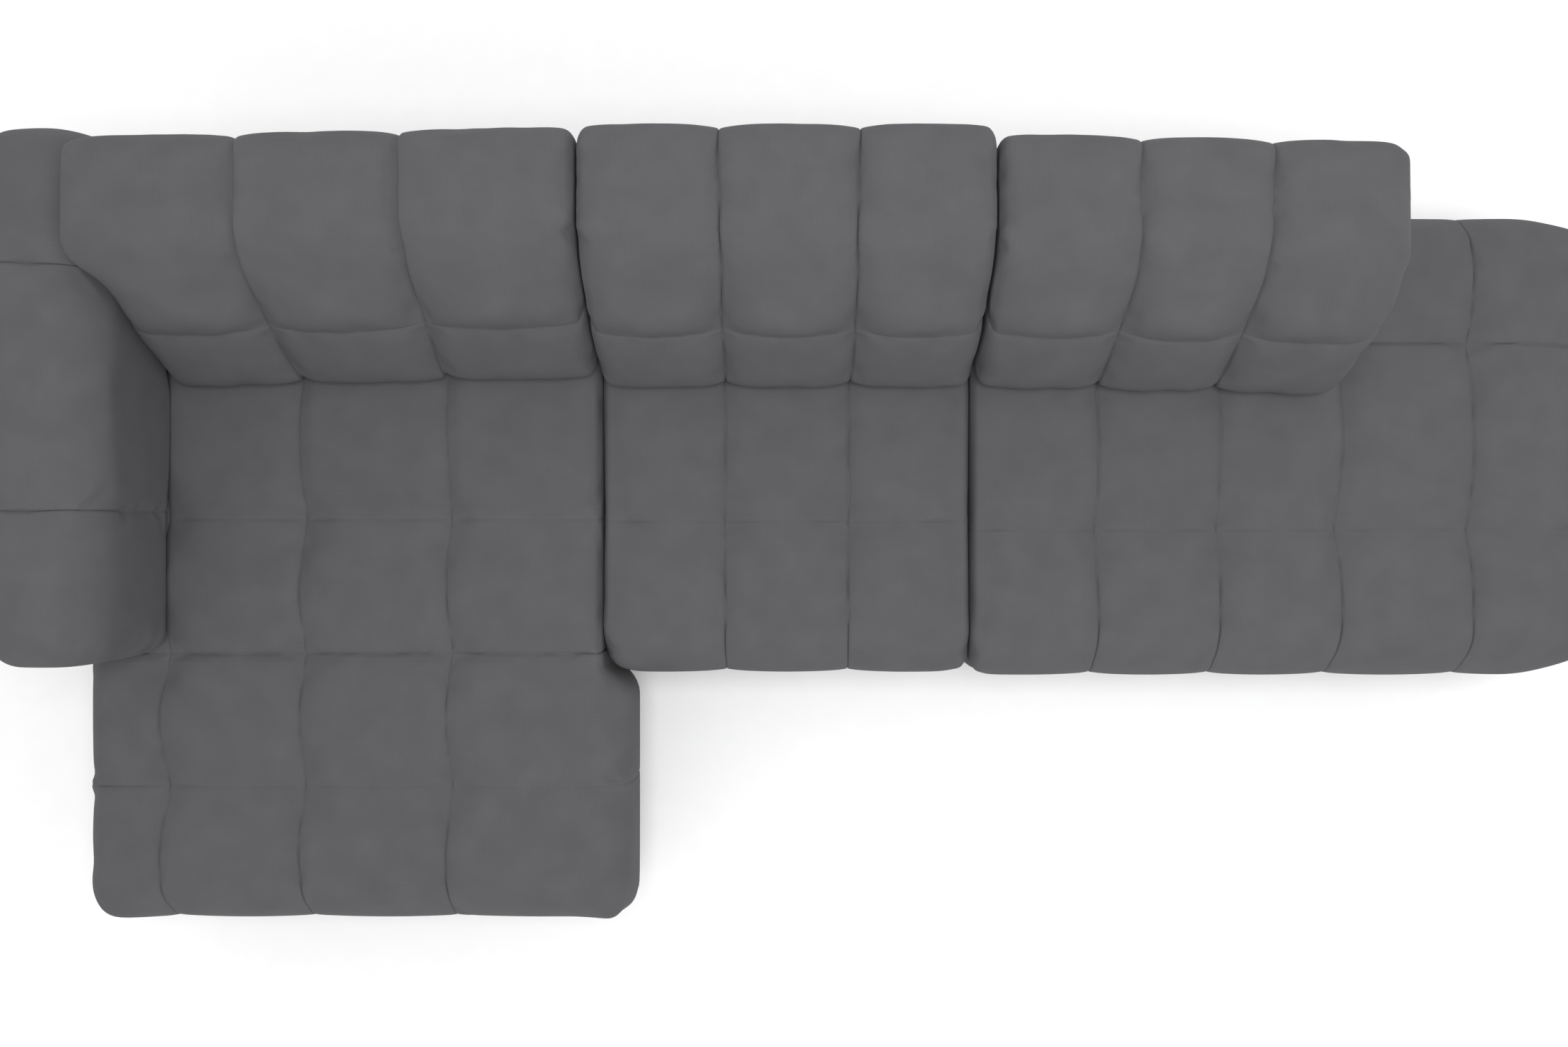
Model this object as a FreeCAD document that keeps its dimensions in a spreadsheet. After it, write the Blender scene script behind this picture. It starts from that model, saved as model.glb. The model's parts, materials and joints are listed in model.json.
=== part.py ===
import FreeCAD
import Part
import Sketcher
import math
import os

# Modular lounge sofa, seen in the photograph from straight above: a chaise on the left, a middle seat
# and a long open-ended seat on the right. Three upholstered platforms stand side by side. Three thick
# backs and one arm stand on them. Each back glides to the rear on two steel tubes that run in sleeves
# inside its platform. Millimetres. X runs to the right, Y to the rear and Z up. The origin is on the
# floor, in the middle of the sofa's outline.

SIZES = (
    # Platforms
    ("foot_height", 50.0),
    ("foot_top_radius", 30.0),
    ("foot_base_radius", 24.0),
    ("foot_stud_radius", 4.0),
    ("foot_stud_length", 30.0),
    ("foot_inset", 32.0),
    ("seat_height", 430.0),
    ("platform_depth", 1023.0),
    ("chaise_length", 1574.0),
    ("module_gap", 2.0),
    ("fit_clearance", 0.3),
    ("side_padding", 48.0),
    ("top_padding", 45.0),
    # Upholstery shape
    ("channel_draw", 12.0),
    ("channel_crown", 3.0),
    ("panel_crown", 8.0),
    ("back_channel_crown", 6.0),
    ("back_row_crown", 16.0),
    ("face_bulge", 8.0),
    ("edge_round", 55.0),
    ("end_round", 45.0),
    # Columns between the lengthwise channels, from left to right
    ("chaise_column_a", 173.0),
    ("chaise_column_b", 307.0),
    ("chaise_column_c", 326.0),
    ("chaise_column_d", 340.0),
    ("middle_column_a", 273.0),
    ("middle_column_b", 274.0),
    ("middle_column_c", 271.0),
    ("right_column_a", 280.0),
    ("right_column_b", 271.0),
    ("right_column_c", 267.0),
    ("right_column_d", 293.0),
    ("right_column_e", 303.0),
    # Rows between the cross seams, from the rear edge forwards; the front row is what is left
    ("rear_row", 293.0),
    ("chaise_row_b", 389.0),
    ("chaise_row_c", 299.0),
    ("chaise_row_d", 294.0),
    ("middle_row_b", 392.0),
    ("right_row_b", 412.0),
    # Timber, springs, felt and dust cover
    ("rail_thickness", 25.0),
    ("rail_height", 180.0),
    ("block_size", 60.0),
    ("block_height", 100.0),
    ("dust_thickness", 1.5),
    ("spring_wire", 4.0),
    ("spring_bend", 20.0),
    ("spring_reach", 24.0),
    ("spring_spacing", 110.0),
    ("spring_seat_inset", 6.5),
    ("clip_width", 26.0),
    ("clip_depth", 11.0),
    ("clip_wall", 1.5),
    ("felt_thickness", 3.0),
    # Backs
    ("seat_depth", 633.0),
    ("seat_clearance", 2.0),
    ("back_side_gap", 2.0),
    ("lower_row_height", 200.0),
    ("crease_setback", 126.0),
    ("brow_drop", 32.0),
    ("brow_setback", 232.0),
    ("top_rear_round", 70.0),
    ("top_rear_drop", 60.0),
    ("left_back_column_a", 292.0),
    ("left_back_column_b", 320.0),
    ("middle_back_column_a", 276.0),
    ("middle_back_column_b", 271.0),
    ("right_back_column_a", 275.0),
    ("right_back_column_b", 254.0),
    ("right_back_column_c", 278.0),
    ("left_back_rise", 398.0),
    ("middle_back_rise", 405.0),
    ("right_back_rise", 392.0),
    ("left_back_overhang", 67.0),
    ("middle_back_overhang", 78.0),
    ("right_back_overhang", 58.0),
    ("back_padding", 34.0),
    ("back_foam", 55.0),
    ("board_thickness", 18.0),
    ("panel_thickness", 5.0),
    # Glides of the backs
    ("glide_travel", 180.0),
    ("glide_overlap", 250.0),
    ("glide_height", 190.0),
    ("glide_inset", 150.0),
    ("glide_standoff", 5.0),
    ("sleeve_width", 40.0),
    ("tube_wall", 2.5),
    ("glide_clearance", 0.5),
    ("slot_clearance", 2.0),
    ("upright_width", 60.0),
    ("upright_thickness", 6.0),
    ("upright_reach", 140.0),
    ("bolt_radius", 4.0),
    ("bolt_spacing", 60.0),
    ("bolt_edge", 25.0),
    ("bolt_head_radius", 7.0),
    ("bolt_head_height", 5.0),
    # Arm
    ("arm_width", 240.0),
    ("arm_overhang", 45.0),
    ("arm_rise", 346.0),
    ("arm_rear_overhang", 92.0),
    ("arm_front_setback", 48.0),
    ("arm_cell_rear", 273.0),
    ("arm_cell_middle", 484.0),
    ("arm_padding", 48.0),
    ("arm_foam", 24.0),
    ("post_radius", 11.0),
    ("post_depth", 290.0),
    ("post_inset", 240.0),
    ("post_plate_width", 50.0),
    ("post_plate_length", 110.0),
    ("post_plate_thickness", 4.0),
    ("socket_wall", 3.0),
    ("socket_floor", 5.0),
    # Links between the platforms
    ("link_width", 40.0),
    ("link_plate", 4.0),
    ("link_edge", 20.0),
    ("link_inset", 200.0),
    ("link_bolt_length", 60.0),
)

# Shape of a padded form: how full it is beside a channel, where that is along a panel, the angles at
# which the rounded end is drawn, and how far a quarter round stands off its chord
SHOULDER_FULLNESS = 0.8
SHOULDER_SHARE = 0.16
CAP_ANGLES = (90.0, 60.0, 30.0, 0.0)
ARC_RISE = 1 - math.sqrt(0.5)

# The front of a back leans, so a layer measured square to it is this much deeper along Y
LEAN_FACTOR = 1.2


class Size:
    """A length that carries both its number and the expression that gives it."""

    def __init__(self, number, text):
        self.number = float(number)
        self.text = text

    @staticmethod
    def of(value):
        return value if isinstance(value, Size) else Size(value, repr(float(value)))

    def join(self, sign, other, number):
        return Size(number, "(%s %s %s)" % (self.text, sign, Size.of(other).text))

    def __add__(self, other):
        return self.join("+", other, self.number + Size.of(other).number)

    def __sub__(self, other):
        return self.join("-", other, self.number - Size.of(other).number)

    def __mul__(self, other):
        return self.join("*", other, self.number * Size.of(other).number)

    def __truediv__(self, other):
        return self.join("/", other, self.number / Size.of(other).number)


def make_sheet(document):
    """The spreadsheet of driving sizes, and one Size for each of its aliases."""
    sheet = document.addObject("Spreadsheet::Sheet", "Sizes")
    for row, (alias, number) in enumerate(SIZES, start=1):
        sheet.set("A%d" % row, alias.replace("_", " "))
        sheet.set("B%d" % row, str(number))
        sheet.setAlias("B%d" % row, alias)
    document.recompute()
    return {alias: Size(sheet.get(alias), "Sizes." + alias) for alias, _ in SIZES}


doc = FreeCAD.newDocument("LoungeSofa")
size = make_sheet(doc)
sub_parts = []


# Small builders shared by every sub-part

def bind(item, name, value):
    """Sets a property from a Size, as a live expression."""
    item.setExpression(name, Size.of(value).text)


def place(item, corner):
    for letter, value in zip("xyz", corner):
        bind(item, "Placement.Base." + letter, value)
    return item


def box(name, corner, lengths):
    """A block from its lowest corner and its lengths along X, Y and Z."""
    item = doc.addObject("Part::Box", name)
    for side, value in zip(("Length", "Width", "Height"), lengths):
        bind(item, side, value)
    return place(item, corner)


TURNS = {
    "up": FreeCAD.Rotation(),
    "right": FreeCAD.Rotation(FreeCAD.Vector(0, 1, 0), 90),
    "front": FreeCAD.Rotation(FreeCAD.Vector(1, 0, 0), 90),
}


def rod(name, radius, length, start, heading="up"):
    """A cylinder from the centre of one end, heading up, to the right or to the front."""
    item = doc.addObject("Part::Cylinder", name)
    bind(item, "Radius", radius)
    bind(item, "Height", length)
    item.Placement.Rotation = TURNS[heading]
    return place(item, start)


def cut(name, base, tools):
    """The base with every tool taken out of it."""
    if not tools:
        return base
    item = doc.addObject("Part::Cut", name)
    item.Base = base
    item.Tool = tools[0] if len(tools) == 1 else group(name + "_tools", tools)
    return item


def fuse(name, pieces):
    item = doc.addObject("Part::MultiFuse", name)
    item.Shapes = pieces
    return item


def group(name, pieces):
    item = doc.addObject("Part::Compound", name)
    item.Links = pieces
    return item


def sub_part(label, item):
    """Keeps an object as a node of the sofa, under its own name."""
    item.Label = label
    sub_parts.append(item)
    return item


def prism(name, points, start, length):
    """A body padded along X from an outline of (y, z) Sizes."""
    body = doc.addObject("PartDesign::Body", name)
    sketch = body.newObject("Sketcher::SketchObject", name + "_outline")
    plane = next(f for f in body.Origin.OriginFeatures if f.Role == "YZ_Plane")
    sketch.AttachmentSupport = [(plane, "")]
    sketch.MapMode = "FlatFace"
    corners = [FreeCAD.Vector(y.number, z.number, 0) for y, z in points]
    count = len(corners)
    for index, corner in enumerate(corners):
        sketch.addGeometry(Part.LineSegment(corner, corners[(index + 1) % count]), False)
    for index in range(count):
        sketch.addConstraint(Sketcher.Constraint("Coincident", index, 2, (index + 1) % count, 1))
    for index, (y, z) in enumerate(points):
        for kind, value in (("DistanceX", y), ("DistanceY", z)):
            number = sketch.addConstraint(Sketcher.Constraint(kind, -1, 1, index, 1, value.number))
            sketch.setExpression("Constraints[%d]" % number, value.text)
    pad = body.newObject("PartDesign::Pad", name + "_pad")
    pad.Profile = sketch
    bind(pad, "Length", length)
    return place(body, (start, Size.of(0), Size.of(0)))


def shaped(name, shape, base):
    """A piece whose shape is worked out from the sheet here, placed at a corner given as Sizes."""
    item = doc.addObject("Part::Feature", name)
    item.Shape = shape
    corner = FreeCAD.Vector(*(Size.of(value).number for value in base))
    item.Placement = FreeCAD.Placement(corner, FreeCAD.Rotation())
    return item


# Layout worked out from the driving sizes

clear = size["fit_clearance"]
gap = size["module_gap"]
rail = size["rail_thickness"]
board = size["board_thickness"]

chaise_columns = [size["chaise_column_" + letter] for letter in "abcd"]
middle_columns = [size["middle_column_" + letter] for letter in "abc"]
right_columns = [size["right_column_" + letter] for letter in "abcde"]


def total(parts):
    """The sum of a list of Sizes."""
    whole = parts[0]
    for part in parts[1:]:
        whole = whole + part
    return whole


chaise_width = total(chaise_columns)
middle_width = total(middle_columns)
right_width = total(right_columns)
sofa_width = size["arm_overhang"] + chaise_width + gap + middle_width + gap + right_width
sofa_depth = size["chaise_length"] + size["arm_rear_overhang"]

arm_outer = Size.of(0) - sofa_width / 2
arm_inner = arm_outer + size["arm_width"]
chaise_left = arm_outer + size["arm_overhang"]
middle_left = chaise_left + chaise_width + gap
right_left = middle_left + middle_width + gap
rear_edge = sofa_depth / 2 - size["arm_rear_overhang"]
seat_front = rear_edge - size["platform_depth"]
chaise_front = rear_edge - size["chaise_length"]
back_front = seat_front + size["seat_depth"]
arm_front = seat_front + size["arm_front_setback"]
arm_rear = rear_edge + size["arm_rear_overhang"]

rail_bottom = size["foot_height"] + size["dust_thickness"]
rail_top = rail_bottom + size["rail_height"]
clip_height = size["spring_wire"] + size["clip_wall"] * 2
spring_axis = rail_top + clip_height / 2
felt_bottom = rail_top + clip_height + clear
foam_bottom = felt_bottom + size["felt_thickness"] + clear
cavity_top = size["seat_height"] - size["top_padding"]
stand_height = size["seat_height"] + size["panel_crown"] + size["seat_clearance"]
crease_height = stand_height + size["lower_row_height"]
arm_top = stand_height + size["arm_rise"]

frame_rear = rear_edge - size["side_padding"] - clear
glide_rail = frame_rear - size["glide_overlap"] - size["glide_travel"]
tube_width = size["sleeve_width"] - size["tube_wall"] * 2 - size["glide_clearance"] * 2
upright_front = rear_edge + size["glide_standoff"]


# Upholstered forms: sections of lines and arcs, lofted from channel to channel

class Corner:
    """A corner of a section: where it is, and the way it moves when the cover is drawn in."""

    def __init__(self, across, up, pull_across, pull_up):
        self.across = across
        self.up = up
        self.pull = (pull_across, pull_up)

    def at(self, inset):
        return (self.across + self.pull[0] * inset, self.up + self.pull[1] * inset)


class Profile:
    """A closed section, anticlockwise; each edge has its rise in a channel and between channels."""

    def __init__(self, corners, rises, runs_along_y):
        self.corners = corners
        self.rises = rises
        self.runs_along_y = runs_along_y

    def point(self, across, up, along):
        return FreeCAD.Vector(across, along, up) if self.runs_along_y else FreeCAD.Vector(along, across, up)

    def edge(self, start, end, rise, along):
        """A straight edge, or an arc that stands out of the section by its rise."""
        first = self.point(*start, along)
        last = self.point(*end, along)
        if rise == 0:
            return Part.LineSegment(first, last).toShape()
        run = (end[0] - start[0], end[1] - start[1])
        length = math.hypot(*run)
        crest = self.point((start[0] + end[0]) / 2 + run[1] / length * rise,
                           (start[1] + end[1]) / 2 - run[0] / length * rise, along)
        return Part.Arc(first, crest, last).toShape()

    def wire(self, along, inset, fullness):
        """The section at a place along the form; fullness is 0 in a channel and 1 between channels."""
        spots = [corner.at(inset) for corner in self.corners]
        edges = []
        for index, (low, high) in enumerate(self.rises):
            start = spots[index]
            end = spots[(index + 1) % len(spots)]
            edges.append(self.edge(start, end, low + (high - low) * fullness, along))
        return Part.Wire(edges)


def panel(profile, start, end, start_is_channel, end_is_channel):
    """One column of a cover, lofted from its start to its end."""
    draw = size["channel_draw"].number
    shoulder = (end - start) * SHOULDER_SHARE
    stations = [(start, 0.0 if start_is_channel else 1.0)]
    if start_is_channel:
        stations.append((start + shoulder, SHOULDER_FULLNESS))
    stations.append(((start + end) / 2, 1.0))
    if end_is_channel:
        stations.append((end - shoulder, SHOULDER_FULLNESS))
    stations.append((end, 0.0 if end_is_channel else 1.0))
    wires = [profile.wire(along, draw * (1 - fullness), fullness) for along, fullness in stations]
    return Part.makeLoft(wires, True, False)


def cap(profile, start, outwards):
    """The rounded end of a cover, from its full section to the flat end face."""
    radius = size["end_round"].number
    wires = []
    for angle in CAP_ANGLES:
        turn = math.radians(angle)
        along = start + outwards * radius * math.cos(turn)
        wires.append(profile.wire(along, radius * (1 - math.sin(turn)), 1.0))
    return Part.makeLoft(wires, True, True)


def padded_form(profile, columns):
    """The whole padded form along its columns, with rounded ends."""
    radius = size["end_round"].number
    seams = [0.0]
    for column in columns:
        seams.append(seams[-1] + column.number)
    last = len(columns) - 1
    pieces = [cap(profile, radius, -1), cap(profile, seams[-1] - radius, 1)]
    for index in range(len(columns)):
        start = radius if index == 0 else seams[index]
        end = seams[-1] - radius if index == last else seams[index + 1]
        pieces.append(panel(profile, start, end, index > 0, index < last))
    return pieces[0].fuse(pieces[1:]).Solids[0]


def numbers(*values):
    return [Size.of(value).number for value in values]


def platform_profile(front, rows):
    """A platform's section, with its top sewn into rows."""
    bulge, turn, top, floor = numbers(size["face_bulge"], size["edge_round"],
                                      size["seat_height"], size["foot_height"])
    crown = (size["channel_crown"].number, size["panel_crown"].number)
    side = (bulge / 2, bulge)
    corner = (turn * ARC_RISE, turn * ARC_RISE)
    near = front.number + bulge
    far = rear_edge.number - bulge
    corners = [Corner(near, floor, 1, 0), Corner(far, floor, -1, 0),
               Corner(far, top - turn, -1, -1), Corner(far - turn, top, -1, -1)]
    rises = [(0, 0), side, corner]
    seam = rear_edge.number
    for row in rows:
        seam -= row.number
        corners.append(Corner(seam, top, 0, -1))
        rises.append(crown)
    corners += [Corner(near + turn, top, 1, -1), Corner(near, top - turn, 1, -1)]
    rises += [crown, corner, side]
    return Profile(corners, rises, False)


def back_profile(flat_top, rear):
    """A back's wedge section: a lower and an upper row, a round brow, and a round rear top edge."""
    bulge, foot, round_off, drop = numbers(size["face_bulge"], back_front,
                                           size["top_rear_round"], size["top_rear_drop"])
    row = (size["back_channel_crown"].number, size["back_row_crown"].number)
    top = flat_top.number
    far = rear.number - bulge
    turn = (round_off * ARC_RISE, round_off * ARC_RISE)
    corners = [
        Corner(foot + bulge, stand_height.number, 1, 0),
        Corner(far, stand_height.number, -1, 0),
        Corner(far, top - drop, -1, -1),
        Corner(far - round_off, top, -1, -1),
        Corner(foot + size["brow_setback"].number, top - size["brow_drop"].number, 1, -1),
        Corner(foot + size["crease_setback"].number, crease_height.number, 1, -1),
    ]
    rises = [(0, 0), (bulge / 2, bulge), turn, row, row, row]
    return Profile(corners, rises, False)


def arm_profile():
    """The arm's upright section, with round top edges."""
    bulge, turn, width = numbers(size["face_bulge"], size["edge_round"], size["arm_width"])
    crown = (size["channel_crown"].number, size["panel_crown"].number)
    side = (bulge / 2, bulge)
    corner = (turn * ARC_RISE, turn * ARC_RISE)
    floor = stand_height.number
    top = arm_top.number - size["panel_crown"].number
    near = bulge
    far = width - bulge
    corners = [Corner(near, floor, 1, 0), Corner(far, floor, -1, 0),
               Corner(far, top - turn, -1, -1), Corner(far - turn, top, -1, -1),
               Corner(near + turn, top, 1, -1), Corner(near, top - turn, 1, -1)]
    return Profile(corners, [(0, 0), side, corner, crown, corner, side], True)


# Sinuous springs

def sinuous_spring(front, rear):
    """A zigzag wire from seat to seat along Y, about x = 0, with half-round bends."""
    reach, radius, height = numbers(size["spring_reach"], size["spring_wire"] / 2, spring_axis)
    turns = max(1, round((rear - front) / (size["spring_bend"].number * 2)))
    bend = (rear - front) / (turns * 2)
    side = 1
    spot = FreeCAD.Vector(-reach, front, height)
    edges = []
    for turn in range(turns):
        corner = FreeCAD.Vector(side * reach, spot.y, height)
        crest = FreeCAD.Vector(side * (reach + bend), spot.y + bend, height)
        end = FreeCAD.Vector(side * reach, spot.y + bend * 2, height)
        edges.append(Part.LineSegment(spot, corner).toShape())
        edges.append(Part.Arc(corner, crest, end).toShape())
        spot = end
        side = -side
    edges.append(Part.LineSegment(spot, FreeCAD.Vector(side * reach, spot.y, height)).toShape())
    path = Part.Wire(edges)
    start = FreeCAD.Vector(-reach, front, height)
    ring = Part.Wire([Part.Circle(start, FreeCAD.Vector(1, 0, 0), radius).toShape()])
    return path.makePipeShell([ring], True, False)


class Platform:
    """One seat module, with its frame, springs, padding and cover."""

    def __init__(self, name, left, columns, front, rows, middle_rail=None, spring_left=None):
        self.name = name
        self.left = left
        self.columns = columns
        self.width = total(columns)
        self.front = front
        self.rows = rows
        self.frame_left = left + size["side_padding"] + clear
        self.frame_width = self.width - (size["side_padding"] + clear) * 2
        self.frame_right = self.frame_left + self.frame_width
        self.frame_front = front + size["side_padding"] + clear
        self.frame_depth = frame_rear - self.frame_front
        self.middle_rail = middle_rail
        self.spring_left = spring_left or self.frame_left + rail
        self.glides = []
        self.posts = []
        self.link_bolts = []

    def cross_rails(self):
        """Where each rail that runs from side to side starts along Y, from the front."""
        inner = [self.middle_rail, glide_rail] if self.middle_rail else [glide_rail]
        return [self.frame_front] + inner + [frame_rear - rail]

    def make_frame(self):
        """Two side rails with the front, inner and rear rails between them."""
        rails = []
        for side, start in (("left", self.frame_left), ("right", self.frame_right - rail)):
            name = "%s_%s_rail" % (self.name, side)
            bar = box(name, (start, self.frame_front, rail_bottom),
                      (rail, self.frame_depth, size["rail_height"]))
            bores = [rod("%s_bore_%d" % (name, index), size["bolt_radius"] + clear,
                         size["link_bolt_length"], (across, along, rail_bottom))
                     for index, (bolt_side, across, along) in enumerate(self.link_bolts)
                     if bolt_side == side]
            rails.append(cut(name + "_bored", bar, bores))
        starts = self.cross_rails()
        for index, start in enumerate(starts):
            name = "%s_cross_rail_%d" % (self.name, index)
            bar = box(name, (self.frame_left + rail, start, rail_bottom),
                      (self.frame_width - rail * 2, rail, size["rail_height"]))
            carries = index >= len(starts) - 2
            holes = [self.sleeve_hole(name, number, centre, start)
                     for number, centre in enumerate(self.glides)] if carries else []
            rails.append(cut(name + "_bored", bar, holes))
        sub_part(self.name + "_frame", group(self.name + "_frame", rails))

    def sleeve_hole(self, name, number, centre, start):
        """The square hole that a glide sleeve passes through a rail in."""
        wide = size["sleeve_width"] + clear * 2
        return box("%s_hole_%d" % (name, number),
                   (centre - wide / 2, start, size["glide_height"] - wide / 2), (wide, rail, wide))

    def foot_spots(self):
        """Centres of the feet, under blocks that sit in the frame's corners."""
        inset = rail + size["foot_inset"]
        lows = [self.frame_front + inset]
        if self.middle_rail:
            lows.append(self.middle_rail + inset)
        lows.append(frame_rear - inset)
        return [(across, along) for across in (self.frame_left + inset, self.frame_right - inset)
                for along in lows]

    def make_blocks(self):
        """Blocks in the frame, drilled for the studs of the feet."""
        blocks = []
        wide = size["block_size"]
        for index, (across, along) in enumerate(self.foot_spots()):
            name = "%s_block_%d" % (self.name, index)
            body = box(name, (across - wide / 2, along - wide / 2, rail_bottom),
                       (wide, wide, size["block_height"]))
            bore = rod(name + "_bore", size["foot_stud_radius"] + clear, size["foot_stud_length"],
                       (across, along, rail_bottom))
            blocks.append(cut(name + "_bored", body, [bore]))
        return blocks

    def make_feet(self):
        feet = []
        for index, (across, along) in enumerate(self.foot_spots()):
            name = "%s_foot_%d" % (self.name, index)
            cone = doc.addObject("Part::Cone", name)
            bind(cone, "Radius1", size["foot_base_radius"])
            bind(cone, "Radius2", size["foot_top_radius"])
            bind(cone, "Height", size["foot_height"])
            place(cone, (across, along, Size.of(0)))
            stud = rod(name + "_stud", size["foot_stud_radius"], size["foot_stud_length"],
                       (across, along, size["foot_height"]))
            feet.append(fuse(name + "_whole", [cone, stud]))
        return feet

    def make_dust_cover(self):
        """The thin sheet under the frame, pierced for the studs of the feet and the link bolts."""
        name = self.name + "_dust_cover"
        sheet = box(name + "_sheet", (self.frame_left, self.frame_front, size["foot_height"]),
                    (self.frame_width, self.frame_depth, size["dust_thickness"]))
        spots = [(size["foot_stud_radius"], across, along) for across, along in self.foot_spots()]
        spots += [(size["bolt_radius"], across, along) for _, across, along in self.link_bolts]
        bores = [rod("%s_bore_%d" % (name, index), radius + clear, size["dust_thickness"],
                     (across, along, size["foot_height"]))
                 for index, (radius, across, along) in enumerate(spots)]
        sub_part(name, cut(name, sheet, bores))

    def spans(self):
        """The spring seats at both ends of each run of springs."""
        starts = self.cross_rails()[:-1]
        inset = size["spring_seat_inset"]
        return [(front + rail - inset, rear + inset) for front, rear in zip(starts, starts[1:])]

    def spring_centres(self):
        """Centres of the springs, evenly spaced up to the right side rail."""
        width = self.frame_right - rail - self.spring_left
        count = max(2, int(width.number / size["spring_spacing"].number))
        return [self.spring_left + width * (index + 0.5) / count for index in range(count)]

    def make_springs(self):
        springs = []
        for number, (front, rear) in enumerate(self.spans()):
            wire = sinuous_spring(front.number, rear.number)
            for index, centre in enumerate(self.spring_centres()):
                springs.append(shaped("%s_spring_%d_%d" % (self.name, number, index), wire,
                                      (centre, 0, 0)))
        sub_part(self.name + "_springs", group(self.name + "_springs", springs))

    def make_clips(self):
        """A clip folded round the wire at both ends of each spring."""
        clips = []
        seats = [seat for span in self.spans() for seat in span]
        for number, seat in enumerate(seats):
            for index, centre in enumerate(self.spring_centres()):
                name = "%s_clip_%d_%d" % (self.name, number, index)
                corner = centre - size["clip_width"] / 2
                body = box(name, (corner, seat - size["clip_depth"] / 2, rail_top),
                           (size["clip_width"], size["clip_depth"], clip_height))
                bore = rod(name + "_bore", size["spring_wire"] / 2 + clear, size["clip_width"],
                           (corner, seat, spring_axis), "right")
                clips.append(cut(name + "_bored", body, [bore]))
        return clips

    def post_bores(self, name, bottom, height):
        """Round holes for the posts of the arm."""
        return [rod("%s_post_bore_%d" % (name, index), size["post_radius"] + clear, height,
                    (across, along, bottom)) for index, (across, along) in enumerate(self.posts)]

    def make_deck(self):
        """The board under the back, level with the spring clips, and a second one under the arm."""
        name = self.name + "_deck"
        start = glide_rail + size["spring_seat_inset"] + size["clip_depth"] / 2 + clear
        pieces = [box(name + "_rear", (self.spring_left, start, rail_top),
                      (self.frame_right - self.spring_left, frame_rear - start, clip_height))]
        if self.posts:
            side = box(name + "_side", (self.frame_left, self.frame_front, rail_top),
                       (self.spring_left - self.frame_left, self.frame_depth, clip_height))
            pieces.append(cut(name + "_side_bored", side, self.post_bores(name, rail_top, clip_height)))
        sub_part(name, group(name, pieces))

    def make_layer(self, kind, bottom, thickness):
        """A flat layer that fills the frame's outline over the springs."""
        name = "%s_%s" % (self.name, kind)
        slab = box(name + "_slab", (self.frame_left, self.frame_front, bottom),
                   (self.frame_width, self.frame_depth, thickness))
        sub_part(name, cut(name, slab, self.post_bores(name, bottom, thickness)))

    def make_cover(self):
        """The quilted cover, open at the bottom, with slots for the glides and holes for the posts."""
        name = self.name + "_cover"
        form = shaped(name + "_form", padded_form(platform_profile(self.front, self.rows), self.columns),
                      (self.left, 0, 0))
        tools = [box(name + "_cavity",
                     (self.frame_left - clear, self.frame_front - clear, size["foot_height"]),
                     (self.frame_width + clear * 2, self.frame_depth + clear * 2,
                      cavity_top - size["foot_height"]))]
        wide = tube_width + size["slot_clearance"] * 2
        for index, centre in enumerate(self.glides):
            tools.append(box("%s_slot_%d" % (name, index),
                             (centre - wide / 2, frame_rear, size["glide_height"] - wide / 2),
                             (wide, upright_front - frame_rear, wide)))
        tools += self.post_bores(name, cavity_top, stand_height - cavity_top)
        sub_part(name, cut(name, form, tools))

    def make(self):
        self.make_frame()
        self.make_springs()
        self.make_deck()
        self.make_layer("felt", felt_bottom, size["felt_thickness"])
        self.make_layer("foam", foam_bottom, cavity_top - clear - foam_bottom)
        self.make_cover()
        self.make_dust_cover()


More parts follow.
